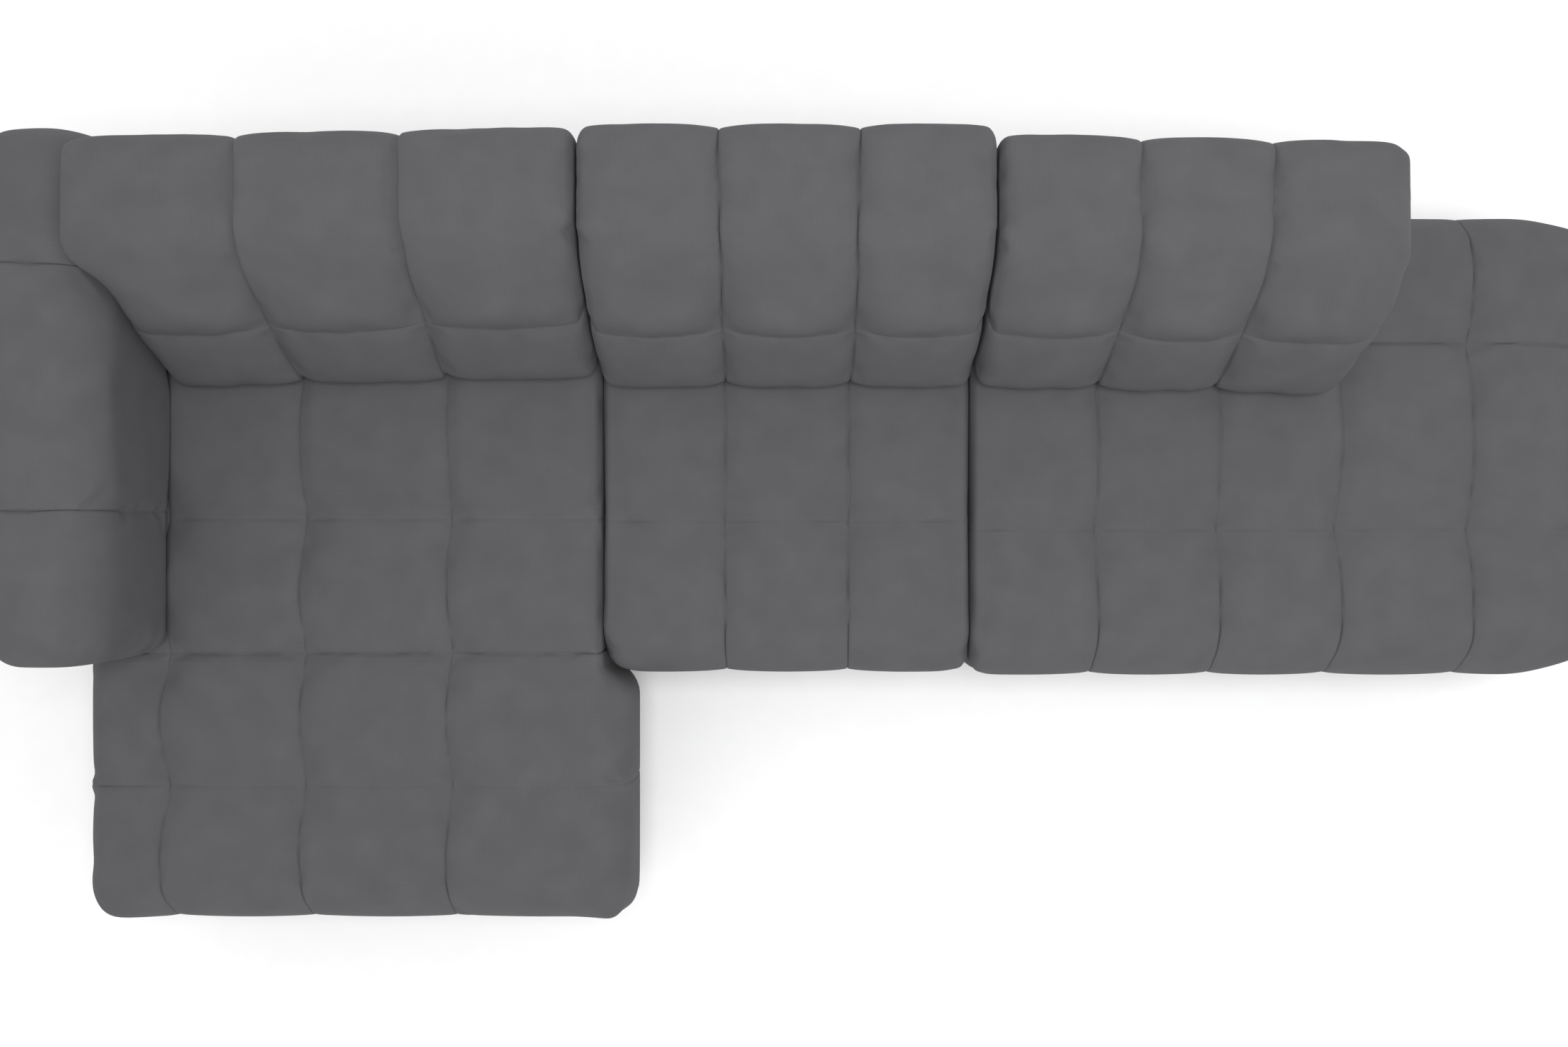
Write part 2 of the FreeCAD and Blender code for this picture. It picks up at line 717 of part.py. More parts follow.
class Back:
    """One back, with its frame, padding, cover and glides."""

    def __init__(self, name, platform, left, columns):
        self.name = name
        self.left = left
        self.columns = columns
        self.width = total(columns)
        self.flat_top = stand_height + size[name + "_rise"] - size["panel_crown"]
        self.rear = rear_edge + size[name + "_overhang"]
        self.frame_left = left + size["back_padding"] + clear
        self.frame_width = self.width - (size["back_padding"] + clear) * 2
        self.glides = [left + size["glide_inset"], left + self.width - size["glide_inset"]]
        platform.glides += self.glides

    def front_line(self, inset, floor):
        """The slanted front at an inset, from a floor height up to the brow."""
        depth = inset * LEAN_FACTOR
        slope = size["crease_setback"] / size["lower_row_height"]
        return [
            (back_front + depth + slope * (floor - stand_height), floor),
            (back_front + size["crease_setback"] + depth, crease_height),
            (back_front + size["brow_setback"] + depth, self.flat_top - size["brow_drop"] - inset),
        ]

    def top_rear(self, inset):
        """Where the flat top ends at an inset, before it turns down to the rear."""
        return (self.rear - inset - size["top_rear_round"], self.flat_top - inset)

    def cavity(self):
        """The outline of the space inside the cover."""
        inset = size["back_padding"]
        last = self.top_rear(inset)
        return self.front_line(inset, stand_height) + [
            last,
            (self.rear - inset, last[1] - size["top_rear_drop"]),
            (self.rear - inset, stand_height),
        ]

    def make_cover(self):
        name = self.name + "_cover"
        form = shaped(name + "_form", padded_form(back_profile(self.flat_top, self.rear), self.columns),
                      (self.left, 0, 0))
        hollow = prism(name + "_cavity", self.cavity(), self.left + size["back_padding"],
                       self.width - size["back_padding"] * 2)
        sub_part(name, cut(name, form, [hollow]))

    def make_frame(self):
        """A base board and a rear board, with ribs between them at the ends and the channels."""
        floor = stand_height + board
        rib_inset = size["back_padding"] + size["back_foam"] + size["panel_thickness"]
        line = self.front_line(rib_inset, floor)
        frame_top = line[2][1]
        near = self.front_line(size["back_padding"] + clear, floor)[0][0]
        base = box(self.name + "_base_board", (self.frame_left, near, stand_height),
                   (self.frame_width, upright_front - near, board))
        rear = box(self.name + "_rear_board", (self.frame_left, upright_front - board, floor),
                   (self.frame_width, board, frame_top - floor))
        bores = [rod("%s_rear_bore_%d_%d" % (self.name, index, number), size["bolt_radius"] + clear,
                     board, (centre, upright_front, up), "front")
                 for index, centre in enumerate(self.glides)
                 for number, up in enumerate(self.bolt_heights())]
        pieces = [base, cut(self.name + "_rear_board_bored", rear, bores)]
        centres = [self.frame_left + board / 2]
        seam = self.left
        for column in self.columns[:-1]:
            seam = seam + column
            centres.append(seam)
        centres.append(self.frame_left + self.frame_width - board / 2)
        outline = line + [(upright_front - board, frame_top), (upright_front - board, floor)]
        for index, centre in enumerate(centres):
            pieces.append(prism("%s_rib_%d" % (self.name, index), outline, centre - board / 2, board))
        sub_part(self.name + "_frame", group(self.name + "_frame", pieces))

    def make_panel(self):
        """The hardboard skin over the front edges of the ribs."""
        floor = stand_height + board
        outer = self.front_line(size["back_padding"] + size["back_foam"], floor)
        inner = self.front_line(size["back_padding"] + size["back_foam"] + size["panel_thickness"], floor)
        outline = outer[:2] + [(outer[2][0], inner[2][1])] + inner[::-1]
        sub_part(self.name + "_panel", prism(self.name + "_panel", outline,
                                             self.frame_left, self.frame_width))

    def make_foam(self):
        """The foam in front of the panel and over the top of the frame."""
        floor = stand_height + board + clear
        outer = self.front_line(size["back_padding"] + clear, floor)
        inner = self.front_line(size["back_padding"] + size["back_foam"] - clear, floor)
        brow = self.front_line(size["back_padding"] + size["back_foam"] + size["panel_thickness"], floor)
        last = self.top_rear(size["back_padding"] + clear)
        underside = brow[2][1] + clear
        outline = outer + [last, (last[0], underside), (inner[2][0], underside)] + inner[1::-1]
        sub_part(self.name + "_foam", prism(self.name + "_foam", outline,
                                            self.frame_left, self.frame_width))

    def bolt_heights(self):
        """The heights of the two bolts that join each upright to the rear board."""
        top = stand_height + size["upright_reach"] - size["bolt_edge"]
        return [top, top - size["bolt_spacing"]]

    def make_glides(self):
        """Two steel tubes that run in the sleeves, with an upright welded to the end of each."""
        start = glide_rail + size["glide_standoff"]
        outer = tube_width
        bore = outer - size["tube_wall"] * 2
        tubes = []
        uprights = []
        for index, centre in enumerate(self.glides):
            name = "%s_glide_%d" % (self.name, index)
            low = size["glide_height"]
            skin = box(name + "_skin", (centre - outer / 2, start, low - outer / 2),
                       (outer, upright_front - start, outer))
            core = box(name + "_core", (centre - bore / 2, start, low - bore / 2),
                       (bore, upright_front - start, bore))
            tubes.append(cut(name + "_tube", skin, [core]))
            wide = size["upright_width"]
            plate = box(name + "_plate", (centre - wide / 2, upright_front, low - outer / 2),
                        (wide, size["upright_thickness"],
                         stand_height + size["upright_reach"] - low + outer / 2))
            bores = [rod("%s_plate_bore_%d" % (name, number), size["bolt_radius"] + clear,
                         size["upright_thickness"],
                         (centre, upright_front + size["upright_thickness"], up), "front")
                     for number, up in enumerate(self.bolt_heights())]
            uprights.append(cut(name + "_upright", plate, bores))
        sub_part(self.name + "_glide_tubes", group(self.name + "_glide_tubes", tubes))
        sub_part(self.name + "_uprights", group(self.name + "_uprights", uprights))

    def make_bolts(self):
        bolts = []
        seat = upright_front + size["upright_thickness"]
        for index, centre in enumerate(self.glides):
            for number, up in enumerate(self.bolt_heights()):
                name = "%s_bolt_%d_%d" % (self.name, index, number)
                shank = rod(name + "_shank", size["bolt_radius"], size["upright_thickness"] + board,
                            (centre, seat, up), "front")
                head = rod(name + "_head", size["bolt_head_radius"], size["bolt_head_height"],
                           (centre, seat + size["bolt_head_height"], up), "front")
                bolts.append(fuse(name + "_whole", [shank, head]))
        sub_part(self.name + "_bolts", group(self.name + "_bolts", bolts))

    def make_sleeves(self):
        """The square tubes, fixed in the platform's rails, that the glides run in."""
        sleeves = []
        outer = size["sleeve_width"]
        bore = outer - size["tube_wall"] * 2
        length = frame_rear - glide_rail
        for index, centre in enumerate(self.glides):
            name = "%s_sleeve_%d" % (self.name, index)
            low = size["glide_height"]
            skin = box(name + "_skin", (centre - outer / 2, glide_rail, low - outer / 2),
                       (outer, length, outer))
            core = box(name + "_core", (centre - bore / 2, glide_rail, low - bore / 2),
                       (bore, length, bore))
            sleeves.append(cut(name, skin, [core]))
        return sleeves

    def make(self):
        self.make_frame()
        self.make_panel()
        self.make_foam()
        self.make_cover()
        self.make_glides()
        self.make_bolts()


class Arm:
    """The arm, which stands on the chaise on two posts."""

    def __init__(self, platform):
        self.platform = platform
        self.length = arm_rear - arm_front
        inset = size["arm_padding"] + clear
        self.inner_left = arm_outer + inset
        self.inner_width = size["arm_width"] - inset * 2
        self.inner_front = arm_front + inset
        self.inner_length = self.length - inset * 2
        self.inner_top = arm_top - inset
        socket = size["post_radius"] + clear + size["socket_wall"]
        across = platform.frame_left + rail + socket
        platform.posts = [(across, arm_front + size["post_inset"]),
                          (across, arm_rear - size["post_inset"] - size["arm_rear_overhang"])]

    def make_cover(self):
        front_cell = self.length - size["arm_cell_rear"] - size["arm_cell_middle"]
        cells = [front_cell, size["arm_cell_middle"], size["arm_cell_rear"]]
        form = shaped("arm_cover_form", padded_form(arm_profile(), cells), (arm_outer, arm_front, 0))
        hollow = box("arm_cover_cavity", (self.inner_left - clear, self.inner_front - clear, stand_height),
                     (self.inner_width + clear * 2, self.inner_length + clear * 2,
                      self.inner_top + clear - stand_height))
        sub_part("arm_cover", cut("arm_cover", form, [hollow]))

    def make_frame(self):
        """A box of boards on a base board, inside the foam."""
        foam = size["arm_foam"] + clear
        left = self.inner_left + foam
        width = self.inner_width - foam * 2
        front = self.inner_front + foam
        length = self.inner_length - foam * 2
        floor = stand_height + board
        top = self.inner_top - foam
        base = box("arm_base_board", (self.inner_left, self.inner_front, stand_height),
                   (self.inner_width, self.inner_length, board))
        bores = [rod("arm_base_bore_%d" % index, size["post_radius"] + clear, board,
                     (across, along, stand_height))
                 for index, (across, along) in enumerate(self.platform.posts)]
        walls = [
            cut("arm_base_bored", base, bores),
            box("arm_outer_board", (left, front, floor), (board, length, top - board - floor)),
            box("arm_inner_board", (left + width - board, front, floor),
                (board, length, top - board - floor)),
            box("arm_front_board", (left + board, front, floor),
                (width - board * 2, board, top - board - floor)),
            box("arm_rear_board", (left + board, front + length - board, floor),
                (width - board * 2, board, top - board - floor)),
            box("arm_top_board", (left, front, top - board), (width, length, board)),
        ]
        sub_part("arm_frame", group("arm_frame", walls))

    def make_foam(self):
        """The foam jacket round the frame, open at the bottom."""
        floor = stand_height + board + clear
        foam = size["arm_foam"]
        skin = box("arm_foam_skin", (self.inner_left, self.inner_front, floor),
                   (self.inner_width, self.inner_length, self.inner_top - floor))
        core = box("arm_foam_core", (self.inner_left + foam, self.inner_front + foam, floor),
                   (self.inner_width - foam * 2, self.inner_length - foam * 2,
                    self.inner_top - foam - floor))
        sub_part("arm_foam", cut("arm_foam", skin, [core]))

    def make_posts(self):
        """Steel posts that hang from a plate on the base board down into the chaise."""
        posts = []
        bottom = stand_height - size["post_depth"]
        deck = stand_height + board
        wide = size["post_plate_width"]
        long = size["post_plate_length"]
        for index, (across, along) in enumerate(self.platform.posts):
            name = "arm_post_%d" % index
            pin = rod(name + "_pin", size["post_radius"], deck - bottom, (across, along, bottom))
            plate = box(name + "_plate", (across + size["post_radius"] + clear - wide, along - long / 2, deck),
                        (wide, long, size["post_plate_thickness"]))
            posts.append(fuse(name, [pin, plate]))
        sub_part("arm_posts", group("arm_posts", posts))

    def make_sockets(self):
        """Closed steel sockets beside the chaise's left rail."""
        sockets = []
        bottom = stand_height - size["post_depth"] - clear - size["socket_floor"]
        bore_radius = size["post_radius"] + clear
        for index, (across, along) in enumerate(self.platform.posts):
            name = "arm_socket_%d" % index
            skin = rod(name + "_skin", bore_radius + size["socket_wall"], rail_top - bottom,
                       (across, along, bottom))
            bore = rod(name + "_bore", bore_radius, rail_top - bottom - size["socket_floor"],
                       (across, along, bottom + size["socket_floor"]))
            sockets.append(cut(name, skin, [bore]))
        sub_part("arm_sockets", group("arm_sockets", sockets))

    def make(self):
        self.make_frame()
        self.make_foam()
        self.make_cover()
        self.make_posts()
        self.make_sockets()


def link_platforms(left_platform, right_platform, plates, bolts):
    """Flat plates under two neighbouring frames, with a bolt up into the rail of each."""
    left_bolt = left_platform.frame_right - rail / 2
    right_bolt = right_platform.frame_left + rail / 2
    start = left_bolt - size["link_edge"]
    length = right_bolt - left_bolt + size["link_edge"] * 2
    bottom = size["foot_height"] - size["link_plate"]
    spots = (seat_front + size["link_inset"], rear_edge - size["link_inset"])
    for index, along in enumerate(spots):
        name = "%s_link_%d" % (left_platform.name, index)
        plate = box(name + "_blank", (start, along - size["link_width"] / 2, bottom),
                    (length, size["link_width"], size["link_plate"]))
        bores = []
        for side, platform, across in (("right", left_platform, left_bolt),
                                       ("left", right_platform, right_bolt)):
            platform.link_bolts.append((side, across, along))
            bores.append(rod("%s_bore_%s" % (name, side), size["bolt_radius"] + clear,
                             size["link_plate"], (across, along, bottom)))
            shank = rod("%s_shank_%s" % (name, side), size["bolt_radius"],
                        size["link_bolt_length"] + size["link_plate"], (across, along, bottom))
            head = rod("%s_head_%s" % (name, side), size["bolt_head_radius"],
                       size["bolt_head_height"], (across, along, bottom - size["bolt_head_height"]))
            bolts.append(fuse("%s_bolt_%s" % (name, side), [shank, head]))
        plates.append(cut(name, plate, bores))


# The three platforms, the three backs, the arm and the links

chaise = Platform(
    "chaise", chaise_left, chaise_columns, chaise_front,
    [size["rear_row"], size["chaise_row_b"], size["chaise_row_c"], size["chaise_row_d"]],
    middle_rail=(chaise_front + glide_rail) / 2, spring_left=arm_inner)
middle = Platform("middle", middle_left, middle_columns, seat_front,
                  [size["rear_row"], size["middle_row_b"]])
right = Platform("right", right_left, right_columns, seat_front,
                 [size["rear_row"], size["right_row_b"]])

side_gap = size["back_side_gap"]
left_back_columns = [size["left_back_column_a"], size["left_back_column_b"]]
left_back_left = arm_inner + side_gap
left_back_columns.append(middle_left - gap - side_gap - left_back_left - total(left_back_columns))
middle_back_columns = [size["middle_back_column_a"], size["middle_back_column_b"]]
middle_back_columns.append(middle_width - side_gap * 2 - total(middle_back_columns))
right_back_columns = [size["right_back_column_" + letter] for letter in "abc"]

backs = [
    Back("left_back", chaise, left_back_left, left_back_columns),
    Back("middle_back", middle, middle_left + side_gap, middle_back_columns),
    Back("right_back", right, right_left + side_gap, right_back_columns),
]
arm = Arm(chaise)

link_plates = []
link_bolts = []
link_platforms(chaise, middle, link_plates, link_bolts)
link_platforms(middle, right, link_plates, link_bolts)

platforms = [chaise, middle, right]
for platform in platforms:
    platform.make()
for back in backs:
    back.make()
arm.make()

SHARED = (
    ("corner_blocks", [piece for platform in platforms for piece in platform.make_blocks()]),
    ("spring_clips", [piece for platform in platforms for piece in platform.make_clips()]),
    ("feet", [piece for platform in platforms for piece in platform.make_feet()]),
    ("glide_sleeves", [piece for back in backs for piece in back.make_sleeves()]),
    ("link_plates", link_plates),
    ("link_bolts", link_bolts),
)
for label, pieces in SHARED:
    sub_part(label, group(label, pieces))

doc.recompute()

# Check everything before any file is written

for item in doc.Objects:
    faults = {"Invalid", "Error"} & set(item.State)
    if faults:
        raise RuntimeError("%s is %s" % (item.Label, ", ".join(sorted(faults))))
for item in sub_parts:
    if item.Shape.isNull() or not item.Shape.isValid() or not item.Shape.Solids:
        raise RuntimeError("%s has no sound shape" % item.Label)

os.makedirs("parts", exist_ok=True)
for item in sub_parts:
    item.Shape.exportStep("parts/%s.step" % item.Label)
print("%d nodes, %d solids" % (len(sub_parts), sum(len(item.Shape.Solids) for item in sub_parts)))
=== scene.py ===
"""Dressed model of a modular lounge sofa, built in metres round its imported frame.

The quilted covers are cut as blocks, sewn down along their seams, blown up as cloth, and lined inside.
The frame, springs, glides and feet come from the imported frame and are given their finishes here.
A cover's sizes are in millimetres; a place along an axis of the room is in metres.
"""
import json
import logging
import math
from collections.abc import Iterable, Sequence
from dataclasses import asdict, dataclass, field
from enum import Enum

import bmesh
import bpy
import numpy as np
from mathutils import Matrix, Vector


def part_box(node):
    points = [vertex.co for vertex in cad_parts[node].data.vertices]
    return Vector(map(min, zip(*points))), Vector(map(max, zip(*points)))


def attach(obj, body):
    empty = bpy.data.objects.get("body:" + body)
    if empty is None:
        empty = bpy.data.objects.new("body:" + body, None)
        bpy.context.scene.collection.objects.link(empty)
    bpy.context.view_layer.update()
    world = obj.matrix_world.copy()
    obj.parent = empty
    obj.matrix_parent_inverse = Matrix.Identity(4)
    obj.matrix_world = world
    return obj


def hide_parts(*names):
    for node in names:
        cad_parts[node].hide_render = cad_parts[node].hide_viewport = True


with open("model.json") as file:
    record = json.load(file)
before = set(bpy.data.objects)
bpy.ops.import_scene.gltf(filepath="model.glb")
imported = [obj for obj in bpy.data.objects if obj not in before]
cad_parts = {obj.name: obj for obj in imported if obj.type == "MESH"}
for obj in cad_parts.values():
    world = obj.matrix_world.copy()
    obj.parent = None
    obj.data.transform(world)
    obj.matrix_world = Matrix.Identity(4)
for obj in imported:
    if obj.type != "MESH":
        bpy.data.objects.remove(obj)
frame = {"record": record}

Points = np.ndarray
Source = bpy.types.Node | bpy.types.NodeSocket
Pair = tuple[float, float]
Triple = tuple[float, float, float]
Numbers = tuple[float, ...]

MM = 0.001

# Where along X the camera stands; the platforms' seams bow outwards from there
PHOTO_MIDDLE = -0.1165

# A point nearer to a seam than this lies on it; what each pillow leaves open beside its seam; and how many
# times its own length the closing over a seam reaches
ON_SEAM, SEAM_TOUCH, CLOSING_REACH = 1e-4, 0.0003, 2.5

# How far a cover may stand out of its space at the sides, how far it stays under the top, and the
# stretches over which it is pressed back softly
SIDE_SPARE, TOP_SPARE, SIDE_KNEE, TOP_KNEE = 0.0006, 0.0005, 0.002, 0.004

# A seam wanders in two waves, in radians for each metre along and across it. The second is a share of the
# first, so many times as fast, with its own start. Both grow over a stretch from each end of the cover.
WAVE_ALONG, WAVE_ACROSS = 17.0, 9.0
SECOND_SHARE, SECOND_PACE, SECOND_START = 0.5, 2.7, 1.3
FREE_OVER = 0.1

# Edges sharper than this are drawn sharp, in degrees
SHARP_ANGLE = 60.0

log = logging.getLogger("lounge_sofa")


class Axis(Enum):
    """The three directions of the sofa."""

    ACROSS = 0
    DEPTH = 1
    UP = 2


# Finishes


def linear(colour: str) -> tuple[float, float, float, float]:
    """Turns an sRGB hex colour into linear light.

    Args:
        colour: Six hex digits, with or without a leading mark.

    Returns:
        Red, green, blue and an alpha of 1.
    """
    digits = colour.lstrip("#")
    parts = [int(digits[start:start + 2], 16) / 255 for start in (0, 2, 4)]
    red, green, blue = (part / 12.92 if part <= 0.04045 else ((part + 0.055) / 1.055) ** 2.4
                        for part in parts)
    return red, green, blue, 1.0


def per_metre(millimetres: float) -> float:
    """How many repeats of a size in millimetres fit in a metre."""
    return 1.0 / (millimetres * MM)


class Recipe:
    """A node tree, with one way to add a node."""

    def __init__(self, tree: bpy.types.NodeTree) -> None:
        """Takes over a tree that holds its last nodes already."""
        self.tree = tree

    def add(self, kind: str, settings: dict | None = None, **inputs: object) -> bpy.types.Node:
        """Adds a node, sets its properties, and fills or links its inputs.

        Args:
            kind: The node's type.
            settings: Properties of the node itself.
            **inputs: Input names or numbers, and what goes into each.

        Returns:
            The new node.
        """
        node = self.tree.nodes.new(kind)
        for key, value in (settings or {}).items():
            setattr(node, key, value)
        self.fill(node, **inputs)
        return node

    def fill(self, node: bpy.types.Node, **inputs: object) -> None:
        """Fills or links inputs of a node.

        Args:
            node: The node.
            **inputs: Input names, with spaces as underscores, or numbers as in _1, and a value, an output,
                or a node whose first output is linked.
        """
        for key, value in inputs.items():
            socket = node.inputs[int(key[1:])] if key.startswith("_") else node.inputs[key.replace("_", " ")]
            if isinstance(value, bpy.types.Node):
                value = value.outputs[0]
            if isinstance(value, bpy.types.NodeSocket):
                self.tree.links.new(value, socket)
            else:
                socket.default_value = value


@dataclass(frozen=True)
class Finish:
    """What every finish has: two colours that it varies between, how it takes light, and its relief.

    The relief's depth is the real one in millimetres, and its strength is how much of it shows.
    """

    name: str
    low: str
    high: str
    roughness: float
    metallic: float = 0.0
    relief_depth: float = 0.1
    relief_strength: float = 0.3
    shine: float = 0.5
    sheen: float = 0.0
    sheen_roughness: float = 0.5

    def material(self) -> bpy.types.Material:
        """Builds the finish's material once.

        Returns:
            The material.
        """
        material = bpy.data.materials.get(self.name)
        if material:
            return material
        material = bpy.data.materials.new(self.name)
        material.use_nodes = True
        recipe = Recipe(material.node_tree)
        share, height = self.patterns(recipe, recipe.add("ShaderNodeTexCoord").outputs["Object"])
        tint = recipe.add("ShaderNodeMix", {"data_type": "RGBA"}, _0=share,
                          _6=linear(self.low), _7=linear(self.high))
        relief = recipe.add("ShaderNodeBump", Strength=self.relief_strength,
                            Distance=self.relief_depth * MM, Height=height)
        recipe.fill(recipe.tree.nodes["Principled BSDF"], Base_Color=tint.outputs[2], Normal=relief,
                    Roughness=self.roughness, Metallic=self.metallic, Specular_IOR_Level=self.shine,
                    Sheen_Weight=self.sheen, Sheen_Roughness=self.sheen_roughness)
        return material

    def patterns(self, recipe: Recipe, where: Source) -> tuple[Source, Source]:
        """Lays the patterns of the finish; each kind has its own.

        Args:
            recipe: The material being made.
            where: The coordinates of the piece itself.

        Returns:
            Where between the two colours each point lies, and how high its relief is.
        """
        raise NotImplementedError


@dataclass(frozen=True)
class WovenUpholstery(Finish):
    """Plain-woven matt polyester cloth: it scatters light evenly, with a faint pile sheen and soft mottle.

    The weave is drawn as waves about 10 mm apart, which is about four times the value of thread and far
    coarser than real threads.
    """

    relief_depth: float = 0.25
    relief_strength: float = 0.2
    shine: float = 0.08
    sheen: float = 0.04
    sheen_roughness: float = 0.6
    thread: float = 2.6
    thread_wobble: float = 0.6
    thread_tint: float = 0.12
    slub: float = 11.0
    slub_height: float = 0.9
    mottle: float = 70.0

    def patterns(self, recipe: Recipe, where: Source) -> tuple[Source, Source]:
        """Lays warp and weft over and under each other, along the cloth's own map."""
        cloth = recipe.add("ShaderNodeUVMap", {"uv_map": "cloth"})
        warp, weft = (recipe.add("ShaderNodeTexWave", {"bands_direction": direction}, Vector=cloth,
                                 Scale=per_metre(self.thread) / math.tau * 0.5,
                                 Distortion=self.thread_wobble, Detail=1.0, Detail_Scale=2.0)
                      for direction in ("X", "Y"))
        weave = recipe.add("ShaderNodeMath", {"operation": "MULTIPLY"},
                           _0=warp.outputs["Fac"], _1=weft.outputs["Fac"])
        slubs = recipe.add("ShaderNodeTexNoise", Vector=cloth, Scale=per_metre(self.slub), Detail=2.0)
        cloudy = recipe.add("ShaderNodeTexNoise", Vector=where, Scale=per_metre(self.mottle), Detail=2.0)
        return (recipe.add("ShaderNodeMath", {"operation": "MULTIPLY_ADD"},
                           _0=weave, _1=self.thread_tint, _2=cloudy),
                recipe.add("ShaderNodeMath", {"operation": "MULTIPLY_ADD"},
                           _0=slubs, _1=self.slub_height, _2=weave))


@dataclass(frozen=True)
class GrainedBoard(Finish):
    """Planed softwood or plywood face: long streaks of darker late wood under a dry surface."""

    relief_depth: float = 0.3
    ring: float = 9.0
    pore: float = 0.125
    pore_tint: float = 0.3
    along: Axis = Axis.ACROSS
    squeeze: float = 0.06

    def patterns(self, recipe: Recipe, where: Source) -> tuple[Source, Source]:
        """Stretches a wavy ring pattern along the board, and finer pores, as a share of a ring."""
        stretch = [self.squeeze if axis is self.along else 1.0 for axis in Axis]
        turned = recipe.add("ShaderNodeMapping", Vector=where, Scale=stretch)
        grain = recipe.add("ShaderNodeTexNoise", Vector=turned, Scale=per_metre(self.ring), Detail=5.0)
        pores = recipe.add("ShaderNodeTexNoise", Vector=turned, Scale=per_metre(self.ring * self.pore),
                           Detail=2.0)
        both = recipe.add("ShaderNodeMath", {"operation": "MULTIPLY_ADD"},
                          _0=pores, _1=self.pore_tint, _2=grain)
        return both, both


@dataclass(frozen=True)
class GrainyPlastic(Finish):
    """Moulded polypropylene with a spark-eroded grain: a broad dull highlight over tiny pits."""

    relief_depth: float = 0.08
    relief_strength: float = 0.4
    grain: float = 1.2
    cloud: float = 30.0

    def patterns(self, recipe: Recipe, where: Source) -> tuple[Source, Source]:
        """Covers the surface with fine cells."""
        return (recipe.add("ShaderNodeTexNoise", Vector=where, Scale=per_metre(self.cloud), Detail=3.0),
                recipe.add("ShaderNodeTexVoronoi", Vector=where, Scale=per_metre(self.grain)))


@dataclass(frozen=True)
class PowderCoat(Finish):
    """Satin powder coat on steel: an even film with a fine orange peel."""

    relief_depth: float = 0.05
    relief_strength: float = 0.35
    peel: float = 1.8
    cloud: float = 60.0

    def patterns(self, recipe: Recipe, where: Source) -> tuple[Source, Source]:
        """Covers the surface with a soft ripple."""
        return (recipe.add("ShaderNodeTexNoise", Vector=where, Scale=per_metre(self.cloud), Detail=3.0),
                recipe.add("ShaderNodeTexNoise", Vector=where, Scale=per_metre(self.peel), Detail=1.0))


@dataclass(frozen=True)
class DrawnSteel(Finish):
    """Bright drawn or zinc-plated steel: fine lines along the drawing, and a cloudy plate."""

    relief_depth: float = 0.02
    line: float = 0.8
    squeeze: float = 0.03
    cloud: float = 18.0

    def patterns(self, recipe: Recipe, where: Source) -> tuple[Source, Source]:
        """Draws fine streaks along the tube."""
        streaked = recipe.add("ShaderNodeMapping", Vector=where, Scale=(1.0, self.squeeze, 1.0))
        return (recipe.add("ShaderNodeTexNoise", Vector=where, Scale=per_metre(self.cloud), Detail=3.0),
                recipe.add("ShaderNodeTexNoise", Vector=streaked, Scale=per_metre(self.line), Detail=2.0))


@dataclass(frozen=True)
class FibreMat(Finish):
    """Needled felt, spun cloth or cut foam: a dull body of fine fibres or cells."""

    relief_strength: float = 0.5
    cell: float = 2.0
    cell_tint: float = 0.5
    cells_in_cloud: float = 25.0

    def patterns(self, recipe: Recipe, where: Source) -> tuple[Source, Source]:
        """Scatters fine cells over soft clouds."""
        cells = recipe.add("ShaderNodeTexNoise", Vector=where, Scale=per_metre(self.cell), Detail=4.0)
        clouds = recipe.add("ShaderNodeTexNoise", Vector=where,
                            Scale=per_metre(self.cell * self.cells_in_cloud), Detail=2.0)
        return recipe.add("ShaderNodeMath", {"operation": "MULTIPLY_ADD"},
                          _0=cells, _1=self.cell_tint, _2=clouds), cells


COVER_CLOTH = WovenUpholstery("woven_grey_upholstery", "#4F4F51", "#59595C", 0.92)
PINE = GrainedBoard("planed_pine", "#B98F5C", "#DDBB87", 0.7)
PLYWOOD = GrainedBoard("birch_plywood", "#C09A68", "#DDC193", 0.65, ring=14.0, along=Axis.DEPTH)
HARDBOARD = FibreMat("pressed_hardboard", "#5A3E28", "#73543A", 0.6, cell=3.0, relief_depth=0.1)
FOAM = FibreMat("cut_foam", "#D8CFAE", "#E9E2C6", 0.95, cell=1.6, relief_depth=0.5)
FELT = FibreMat("needled_felt", "#5C5955", "#857F79", 0.95, cell=4.0, relief_depth=0.6)
SPUN_CLOTH = FibreMat("spun_dust_cloth", "#17171A", "#26262A", 0.9, cell=2.5, relief_depth=0.25)
SPRING_WIRE = PowderCoat("oil_blacked_wire", "#26272A", "#3A3B3F", 0.38, 0.9, peel=1.0)
BLACK_STEEL = PowderCoat("black_powder_coat", "#141416", "#1D1D20", 0.45)
DRAWN_TUBE = DrawnSteel("drawn_steel_tube", "#9FA3A8", "#BCC0C4", 0.32, 1.0)
ZINC = DrawnSteel("zinc_plated_steel", "#A9ACB0", "#C9CCCF", 0.36, 1.0, line=2.0)
FOOT_PLASTIC = GrainyPlastic("grained_black_plastic", "#141415", "#1C1C1E", 0.5)
FLOOR_PAINT = PowderCoat("pale_floor", "#F4F4F4", "#F8F8F8", 0.9, peel=4.0)

FINISH_OF_SLOT = {
    "cover_fabric": COVER_CLOTH, "seat_foam": FOAM, "felt_pad": FELT, "pine_rail": PINE,
    "plywood": PLYWOOD, "hardboard": HARDBOARD, "spring_steel": SPRING_WIRE, "dust_cloth": SPUN_CLOTH,
    "glide_steel": DRAWN_TUBE, "black_steel": BLACK_STEEL, "zinc_steel": ZINC, "foot_plastic": FOOT_PLASTIC,
}


# Sewing and filling


